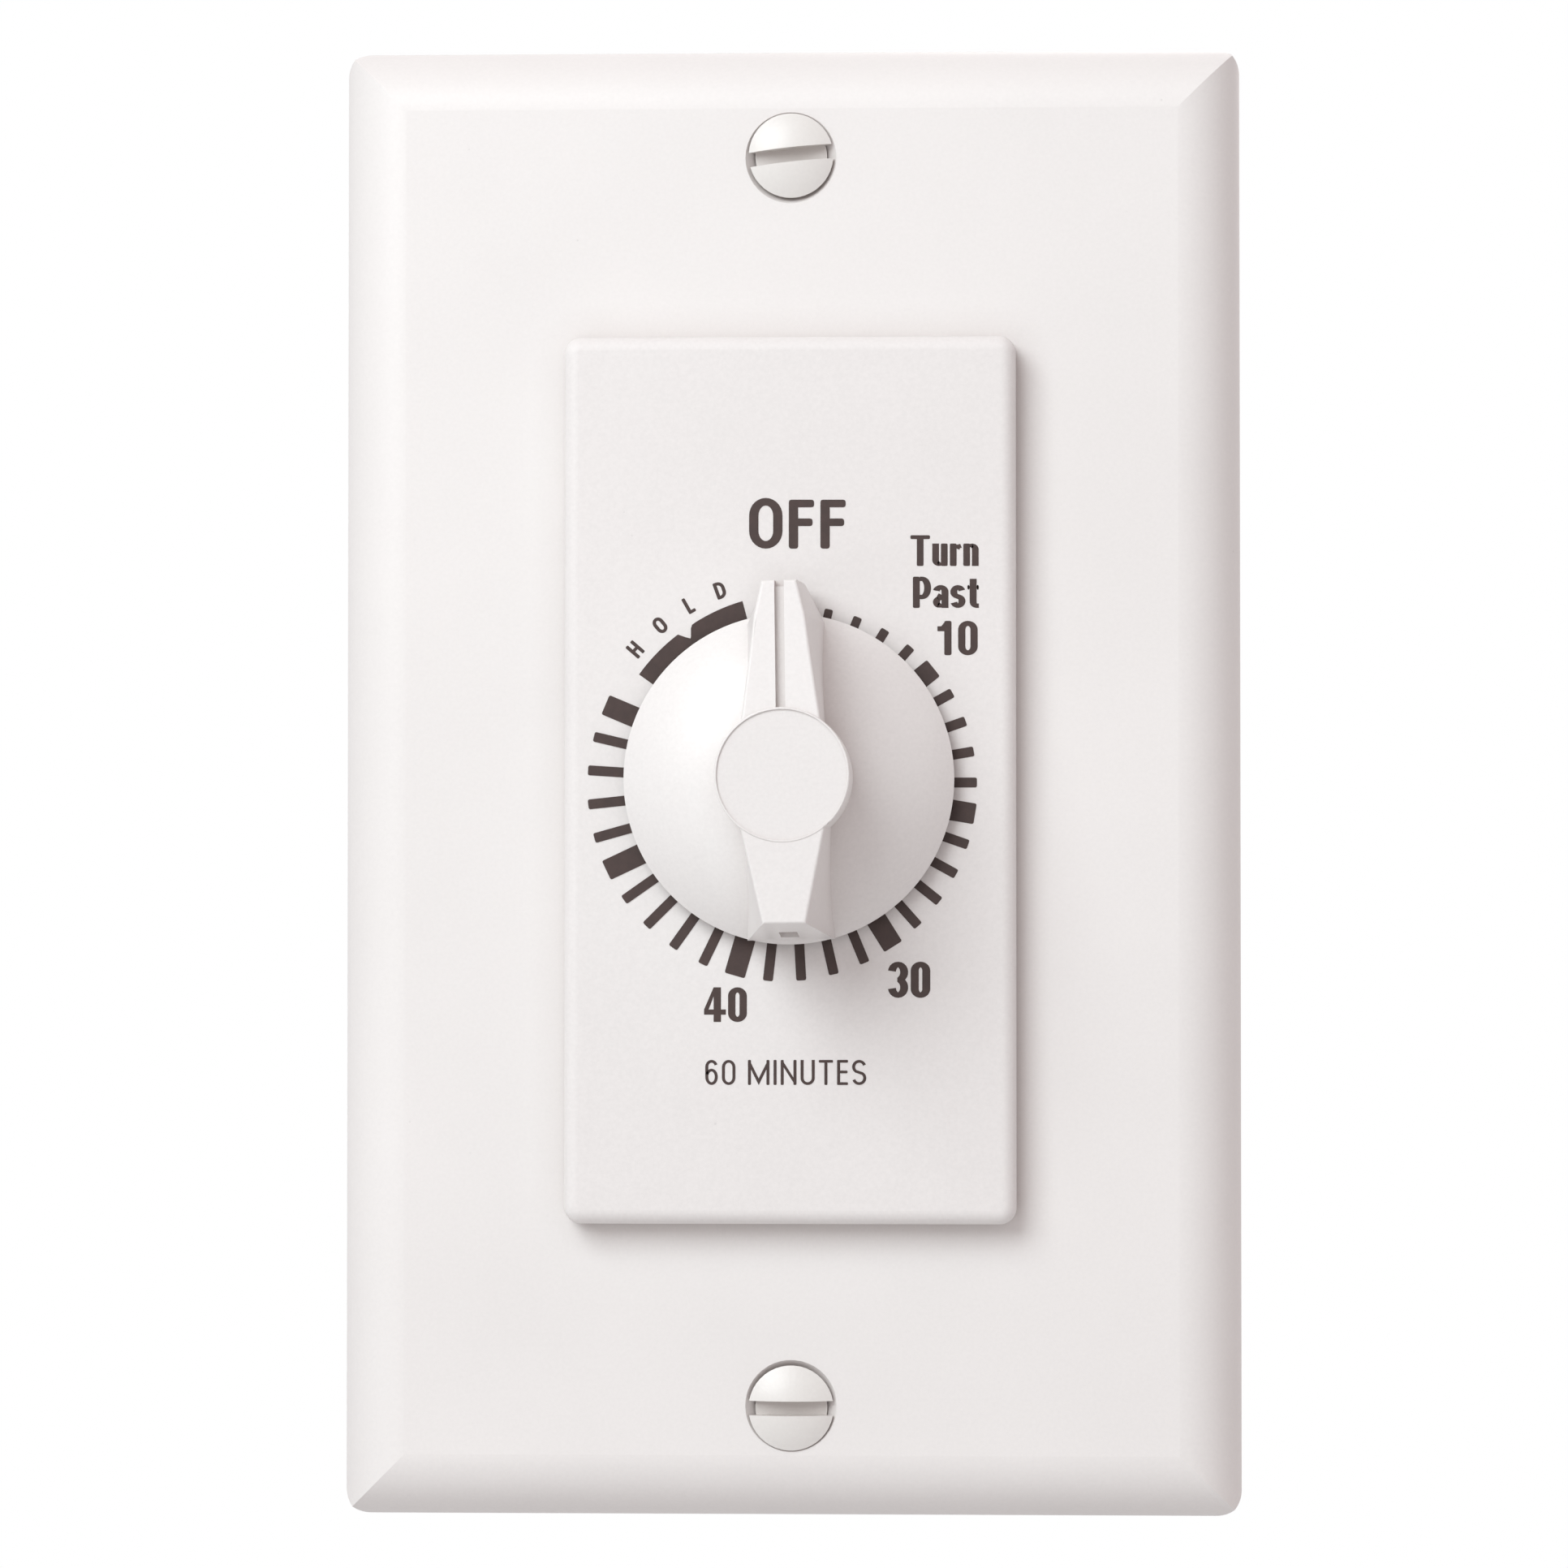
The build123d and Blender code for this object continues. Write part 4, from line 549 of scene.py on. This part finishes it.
def round_corners(spots, radius, steps=3):
    """Outline with its corners cut by short arcs."""
    made = []
    count = len(spots)
    for i in range(count):
        here = Vector(spots[i])
        to_before = (Vector(spots[i - 1]) - here).normalized()
        to_after = (Vector(spots[(i + 1) % count]) - here).normalized()
        start = here + to_before * radius
        end = here + to_after * radius
        for k in range(steps + 1):
            t = k / steps
            spot = start * (1 - t) ** 2 + here * 2 * t * (1 - t) + end * t**2
            made.append((spot.x, spot.y))
    return made


def print_marks():
    """One mark every two minutes, wider at every tenth minute."""
    marks = Print()
    axis = Vector(MARK_AXIS)
    to_ring = axis - Vector(MARK_RING)
    for i in range(MARK_COUNT):
        angle = radians(MARK_START + MARK_STEP * i)
        aim = Vector((sin(angle), -cos(angle)))
        side = Vector((cos(angle), sin(angle)))
        outer = MARK_OUTER - FIRST_SHORTER * max(0.0, 1 - i / FIRST_SHORT_COUNT)
        lean = to_ring.dot(aim)
        along = -lean + (lean**2 - to_ring.dot(to_ring) + outer**2) ** 0.5
        width = MARK_NARROW - max(0.0, FIRST_NARROWER - NARROWER_STEP * i)
        if i % MARK_WIDE_EVERY == MARK_WIDE_EVERY - 1:
            width = MARK_WIDE
        half = width / 2
        spots = [
            axis + aim * MARK_INNER - side * half,
            axis + aim * along - side * half,
            axis + aim * along + side * half,
            axis + aim * MARK_INNER + side * half,
        ]
        spots = round_corners([tuple(s) for s in spots], MARK_CORNER)
        marks.polygon([on_dial(*s) for s in spots])
    marks.finish("minute_marks")


def polar_px(radius, angle):
    """Pixel at a distance from the shaft's axis and an angle in degrees clockwise from the top."""
    return (
        MARK_AXIS[0] + radius * sin(radians(angle)),
        MARK_AXIS[1] - radius * cos(radians(angle)),
    )


HOLD_ENDS = (-54.4, -14.8)  # angles of the band's left and right end
HOLD_INNER = 194.0
HOLD_OUTER = 229.6
HOLD_FLARE = 2.2  # so much farther out at the right end
HOLD_NOTCH = ((221.0, -35.7), (216.6, -34.7), (218.3, -34.2), (226.6, -32.8), (229.6, -31.9))
HOLD_NOTCH_SIDES = (-37.2, -30.6)  # angles at which the outer edge stops and starts again
HOLD_STEPS = 12


def print_hold_band():
    """Arched band over the hold position, with a notch in its outer edge.

    It is printed as two plates, which meet on the line from the notch's foot to the inner edge.
    """
    left, right = HOLD_ENDS
    stop, again = HOLD_NOTCH_SIDES
    shares = [k / HOLD_STEPS for k in range(HOLD_STEPS + 1)]
    outline = [polar_px(HOLD_OUTER, left + (stop - left) * t) for t in shares]
    outline += [polar_px(*corner) for corner in HOLD_NOTCH]
    for k, t in enumerate(shares):
        outer = HOLD_OUTER + HOLD_FLARE * (k + 3) / (HOLD_STEPS + 3)
        outline.append(polar_px(outer, again + (right - again) * t))
    count = 2 * HOLD_STEPS
    inner = [polar_px(HOLD_INNER, right + (left - right) * k / count) for k in range(count + 1)]
    foot = HOLD_STEPS + 2
    band = Print()
    band.polygon([on_dial(*p) for p in outline[:foot + 1] + inner[HOLD_STEPS:]])
    band.polygon([on_dial(*p) for p in outline[foot:] + inner[:HOLD_STEPS + 1]])
    band.finish("hold_band")


# Letters and figures, drawn as strokes in a cell one capital high

BAR_CORNER = 0.36  # of the pen
SLANT_PEN = 1.08  # of the upright pen
THIN_PEN = 0.12
SAME_SPOT = 1e-4
CLOSED_GAP = 1e-3
SHORTEST_RUN = 1e-9


def arc(cx, cy, rx, ry, start, end, steps=14):
    """Points along part of an ellipse, angles in degrees."""
    return [
        (cx + rx * cos(radians(start + (end - start) * k / steps)),
         cy + ry * sin(radians(start + (end - start) * k / steps)))
        for k in range(steps + 1)
    ]


def glyph(sign, px, py):
    """(width, strokes, plates) of a sign, for a pen px wide in upright strokes, py in level ones.

    A stroke is a path and whether it closes. A plate is an outline. Both are in a cell that is 1
    high, so the numbers below are places in it.
    """
    hx, hy = px / 2, py / 2
    low, half, top = 0.73, 0.5, 1.0
    strokes, plates = [], []

    def bar(x0, y0, x1, y1):
        corners = [(x0, y0), (x1, y0), (x1, y1), (x0, y1)]
        plates.append(round_corners(corners, BAR_CORNER * min(px, py)))

    def upright(x, y0, y1):
        bar(x - hx, y0, x + hx, y1)

    def level(y, x0, x1):
        bar(x0, y - hy, x1, y + hy)

    def slant(x0, x1, up):
        lean = SLANT_PEN * px / abs(x1 - x0)
        rise = lean / (1 + lean)
        start, end = (0, rise), (top - rise, top)
        if not up:
            start, end = end, start
        plates.append([(x0, start[0]), (x1, end[0]), (x1, end[1]), (x0, start[1])])

    def oval(x0, x1, y0, y1, bow):
        cx, rx = (x0 + x1) / 2, (x1 - x0) / 2 - hx
        path = arc(cx, y1 - hy - bow, rx, bow, 0, 180) + arc(cx, y0 + hy + bow, rx, bow, 180, 360)
        strokes.append((path, True))

    if sign in "O0":
        w = 0.66 if sign == "O" else 0.50
        if px <= THIN_PEN:
            w = 0.54
        oval(0, w, 0, top, (w - px) / 2 * 1.15)
    elif sign == "F":
        w = 0.50
        upright(hx, 0, 0.965)
        level(0.965 - hy, 0, w)
        level(0.52, hx, w - 0.03)
    elif sign == "E":
        w = 0.435
        upright(hx, 0, top)
        level(top - hy, 0, w)
        level(0.52, hx, w - 0.02)
        level(hy, 0, w)
    elif sign == "L":
        w = 0.46
        upright(hx, 0, top)
        level(hy, 0, w)
    elif sign == "T":
        w = 0.60 if px > THIN_PEN else 0.565
        level(top - hy, 0, w)
        upright(w / 2, 0, top - hy)
    elif sign == "H":
        w = 0.62
        upright(hx, 0, top)
        upright(w - hx, 0, top)
        level(half, hx, w - hx)
    elif sign == "I":
        w = px
        upright(hx, 0, top)
    elif sign == "N":
        w = 0.63
        upright(hx, 0, top)
        upright(w - hx, 0, top)
        slant(hx, w - hx, False)
    elif sign == "M":
        w = 0.86
        upright(hx, 0, top)
        upright(w - hx, 0, top)
        slant(hx, w / 2, False)
        slant(w / 2, w - hx, True)
    elif sign == "U":
        w = 0.565
        bow = (w - px) / 2
        path = [(hx, top)] + arc(w / 2, hy + bow, w / 2 - hx, bow, 180, 360) + [(w - hx, top)]
        strokes.append((path, False))
    elif sign == "D":
        w = 0.62
        upright(hx, 0, top)
        bow = 0.30
        path = [(hx, top - hy)] + arc(w - hx - bow, top - hy - bow, bow, bow, 90, 0)
        path += arc(w - hx - bow, hy + bow, bow, bow, 0, -90) + [(hx, hy)]
        strokes.append((path, False))
    elif sign == "P":
        w = 0.54
        upright(hx, 0, top)
        bow = (top - 0.42 - py) / 2 + hy
        path = [(px, top - hy)] + arc(w - hx - 0.16, top - hy - bow, 0.16, bow, 90, -90)
        path += [(px, top - hy - 2 * bow)]
        strokes.append((path, False))
    elif sign in "Ss":
        high = top if sign == "S" else low
        w = 0.565 if sign == "S" else 0.45
        rx = w / 2 - hx
        ry = (high - py) / 4
        upper = arc(w / 2, high - hy - ry, rx, ry, 18, 232)
        lower = arc(w / 2, hy + ry, rx, ry, 52, -162)
        strokes.append((upper + lower, False))
    elif sign == "3":
        w = 0.52
        rx = w / 2 - hx
        ry = (top - py) / 4
        upper = arc(w / 2, top - hy - ry, rx, ry, 172, -62)
        lower = arc(w / 2, hy + ry, rx, ry, 62, -172)
        strokes.append((upper + lower, False))
    elif sign == "6":
        w = 0.50
        rx = w / 2 - hx
        path = arc(w / 2, top - hy - 0.22, rx, 0.22, 20, 180)
        path += arc(w / 2, hy + 0.27, rx, 0.27, 180, 360)
        path += arc(w / 2, hy + 0.27, rx, 0.27, 0, 158)
        strokes.append((path, False))
    elif sign == "4":
        w = 0.58
        x0 = w - 0.13 - px
        plates.append([(x0, 0), (x0 + px, 0), (x0 + px, top), (x0, top)])
        plates.append([(0, 0.21), (x0, 0.21), (x0, 0.21 + py), (0, 0.21 + py)])
        x1 = x0 + px
        plates.append([(x1, 0.21), (w, 0.21), (w, 0.21 + py), (x1, 0.21 + py)])
        plates.append([(0, 0.21 + py), (px * 0.62, 0.21 + py), (x0, 0.74), (x0, top)])
    elif sign == "1":
        w = 0.36
        upright(w - hx, 0, top)
        plates.append([(0, 0.70), (w - px, 0.70), (w - px, 0.95), (0.10, 0.845), (0, 0.84)])
    elif sign == "u":
        w = 0.47
        bow = 0.13
        upright(w - hx, 0, low)
        path = [(hx, low)] + arc(hx + 0.11, hy + bow, 0.11, bow, 180, 270)
        path += [(w - px, hy + 0.045)]
        strokes.append((path, False))
    elif sign == "n":
        w = 0.47
        bow = 0.13
        upright(hx, 0, low)
        path = [(px, low - hy - 0.045)]
        path += arc(w - hx - 0.11, low - hy - bow, 0.11, bow, 90, 0) + [(w - hx, 0)]
        strokes.append((path, False))
    elif sign == "r":
        w = 0.34
        upright(hx, 0, low)
        y = low - hy
        strokes.append(([(px, y - 0.10), (px + 0.05, y - 0.03), (w, y - 0.01)], False))
    elif sign == "a":
        w = 0.46
        path = arc(w / 2, low - hy - 0.14, w / 2 - hx, 0.14, 168, 0) + [(w - hx, 0)]
        strokes.append((path, False))
        path = [(w - px, 0.42), (w * 0.52, 0.40)]
        path += arc(w * 0.44, hy + 0.115, w * 0.44 - hx, 0.115, 100, 262)
        path += [(w - px, hy + 0.05)]
        strokes.append((path, False))
    elif sign == "t":
        w = 0.34
        x = 0.07 + hx
        path = [(x, 0.93), (x, hy + 0.12)]
        path += arc(x + 0.11, hy + 0.12, 0.11, 0.12, 190, 265, 6) + [(w, hy)]
        strokes.append((path, False))
        level(low - hy, 0, x - hx)
        level(low - hy, x + hx, w)
    else:
        w = 0.17
    return w, strokes, plates


def pen_sides(path, px, py, closed):
    """The two sides of a stroke along a path, for a pen px wide across and py high."""
    left, right = [], []
    count = len(path)
    for i in range(count):
        before = path[i - 1] if i or closed else path[i]
        after = path[(i + 1) % count] if i < count - 1 or closed else path[i]
        run = Vector((after[0] - before[0], after[1] - before[1]))
        if run.length < SHORTEST_RUN:
            run = Vector((1.0, 0.0))
        across = Vector((-run.y, run.x)).normalized()
        step = Vector((across.x * px / 2, across.y * py / 2))
        here = Vector(path[i])
        left.append(tuple(here + step))
        right.append(tuple(here - step))
    return left, right


def tidy_path(path):
    """Path without repeated points."""
    made = [path[0]]
    for spot in path[1:]:
        if hypot(spot[0] - made[-1][0], spot[1] - made[-1][1]) > SAME_SPOT:
            made.append(spot)
    return made


def print_word(name, text, px, py, box, gap, turn=None):
    """Word that fills a box (left, top, right, bottom) of the photograph's pixels.

    With turn, box is (middle x, middle y, height) and the word is turned anticlockwise by that
    many degrees.
    """
    cells, reach = [], 0.0
    for sign in text:
        width, strokes, plates = glyph(sign, px, py)
        cells.append((reach, strokes, plates))
        reach += width + gap
    reach -= gap
    if turn is None:
        x_scale = (box[2] - box[0]) / reach
        y_scale = box[3] - box[1]

        def place(spot):
            return on_dial(box[0] + spot[0] * x_scale, box[3] - spot[1] * y_scale)
    else:
        size = box[2]
        c, s = cos(radians(turn)), sin(radians(turn))

        def place(spot):
            x, y = (spot[0] - reach / 2) * size, (spot[1] - 0.5) * size
            return on_dial(box[0] + x * c - y * s, box[1] - (x * s + y * c))

    word = Print()
    for start, strokes, plates in cells:
        for path, closed in strokes:
            path = tidy_path(path)
            ends = hypot(path[0][0] - path[-1][0], path[0][1] - path[-1][1])
            if closed and ends < CLOSED_GAP:
                path = path[:-1]
            left, right = pen_sides(path, px, py, closed)
            left = [place((x + start, y)) for x, y in left]
            right = [place((x + start, y)) for x, y in right]
            word.band(left, right, closed)
        for plate in plates:
            word.polygon([place((x + start, y)) for x, y in plate])
    word.finish(name)


WORDS = (  # piece, text, the pen's width and height, box, gap between signs
    ("word_off", "OFF", 0.185, 0.150, (923.0, 613.5, 1042.0, 676.0), 0.125),
    ("word_turn", "Turn", 0.205, 0.125, (1121.7, 659.5, 1205.8, 697.3), 0.070),
    ("word_past", "Past", 0.205, 0.140, (1124.8, 710.5, 1206.0, 749.0), 0.055),
    ("figure_10", "10", 0.185, 0.145, (1155.0, 765.0, 1204.6, 807.3), 0.17),
    ("figure_30", "30", 0.205, 0.155, (1094.0, 1185.0, 1146.2, 1229.5), 0.065),
    ("figure_40", "40", 0.195, 0.150, (867.5, 1216.5, 920.2, 1259.2), 0.06),
    ("figure_60", "60 MINUTES", 0.120, 0.108, (869.0, 1306.0, 1067.3, 1336.8), 0.165),
)
HOLD_LETTERS = {"H": (782.6, 800.2), "O": (813.2, 770.4), "L": (848.6, 745.6), "D": (887.2, 727.2)}
HOLD_PEN = (0.205, 0.185)
HOLD_HEIGHT = 21.0


def print_dial():
    """All that is printed on the dial plate."""
    print_marks()
    print_hold_band()
    for word in WORDS:
        print_word(*word)
    for sign, (x, y) in HOLD_LETTERS.items():
        lean = degrees(atan2(MARK_AXIS[0] - x, MARK_AXIS[1] - y))
        print_word("hold_" + sign.lower(), sign, *HOLD_PEN, (x, y, HOLD_HEIGHT), 0.0, lean)


print_dial()


# Screw threads

THREAD_RADIUS = 1.75 * mm
THREAD_PITCH = 0.794 * mm
THREAD_DEPTH = 0.36 * mm
THREAD_SIDES = 28
THREAD_ROWS = 8  # per pitch
FLANK_SLOPE = 1.25  # steeper than a plain zigzag, so crest and root are a little flat
ROOT_FLAT = 0.1
POINT_LENGTH = 1.5  # pitches over which the thread fades to the point
POINT_LEFT = 0.15  # share of its depth that is left there
THREAD_OVERLAP = 0.02 * mm  # of thread and head
BOX_HEADS_END = 0.44 * mm
PLATE_HEADS_END = 0.0


def cut_copy(node_name, depth):
    """Mesh of a node's part on the room side of a depth, closed where it is cut."""
    work = bmesh.new()
    work.from_mesh(nodes[node_name].data)
    bmesh.ops.remove_doubles(work, verts=work.verts[:], dist=WELD_REACH)
    cut = bmesh.ops.bisect_plane(
        work,
        geom=work.verts[:] + work.edges[:] + work.faces[:],
        plane_co=(0, depth, 0),
        plane_no=(0, 1, 0),
        clear_outer=True,
    )
    edges = [e for e in cut["geom_cut"] if isinstance(e, bmesh.types.BMEdge)]
    bmesh.ops.holes_fill(work, edges=edges, sides=0)
    return work


def add_thread(work, at, start, end):
    """Screw thread along +Y: one closed tube whose radius follows a single-start helix."""
    count = int(ceil((end - start) / (THREAD_PITCH / THREAD_ROWS)))
    grid = []
    for r in range(count + 1):
        y = start + (end - start) * r / count
        point = (end - y) / (POINT_LENGTH * THREAD_PITCH) + POINT_LEFT
        lead = max(0.0, min(1.0, (y - start) / THREAD_PITCH, point))
        ring = []
        for k in range(THREAD_SIDES):
            turn = k / THREAD_SIDES
            zigzag = 1 - abs(2 * ((y / THREAD_PITCH - turn) % 1.0) - 1)
            rise = min(1.0, max(0.0, zigzag * FLANK_SLOPE - ROOT_FLAT))
            radius = THREAD_RADIUS - THREAD_DEPTH + THREAD_DEPTH * rise * lead
            angle = 2 * pi * turn
            spot = (at[0] + radius * cos(angle), y, at[1] + radius * sin(angle))
            ring.append(work.verts.new(spot))
        grid.append(ring)
    for one, two in zip(grid, grid[1:]):
        for k in range(THREAD_SIDES):
            m = (k + 1) % THREAD_SIDES
            work.faces.new((one[k], two[k], two[m], one[m]))
    work.faces.new(grid[0])
    work.faces.new(grid[-1][::-1])


def middle_of_solids(node_name):
    """Middles (x, z) of the separate solids of a node, found by following its edges."""
    work = bmesh.new()
    work.from_mesh(nodes[node_name].data)
    bmesh.ops.remove_doubles(work, verts=work.verts[:], dist=WELD_REACH)
    left = set(work.verts)
    middles = []
    for seed in work.verts:
        if seed not in left:
            continue
        left.discard(seed)
        group, todo = set(), [seed]
        while todo:
            vert = todo.pop()
            group.add(vert)
            for edge in vert.link_edges:
                other = edge.other_vert(vert)
                if other in left:
                    left.discard(other)
                    todo.append(other)
        xs = [v.co.x for v in group]
        zs = [v.co.z for v in group]
        middles.append(((min(xs) + max(xs)) / 2, (min(zs) + max(zs)) / 2))
    work.free()
    return middles


def threaded(node_name, piece, slot, cut, end):
    """Copy of a node's heads with real threads on its shanks, in place of the node."""
    spots = middle_of_solids(node_name)
    work = cut_copy(node_name, cut)
    for at in spots:
        add_thread(work, at, cut - THREAD_OVERLAP, end)
    bmesh.ops.recalc_face_normals(work, faces=work.faces[:])
    mesh = bpy.data.meshes.new(piece)
    work.to_mesh(mesh)
    work.free()
    obj = add_mesh(piece, mesh, MATERIALS[slot])
    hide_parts(node_name)
    for face in mesh.polygons:
        face.use_smooth = False


box_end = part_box("box_screws")[1][1]
plate_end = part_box("plate_screws")[1][1]
threaded("box_screws", "box_screws_threaded", "zinc_steel", BOX_HEADS_END, box_end)
threaded("plate_screws", "plate_screws_threaded", "screw_paint", PLATE_HEADS_END, plate_end)

SOFTENED = (
    "mounting_strap", "ground_screw", "bushing_nut", "housing_screws", "terminal_screws",
    "terminal_plates", "block_screws", "front_movement_plate", "rear_movement_plate",
    "rear_standoffs", "movement_pillars", "terminal_block",
)
for name in SOFTENED:
    soften(nodes[name])
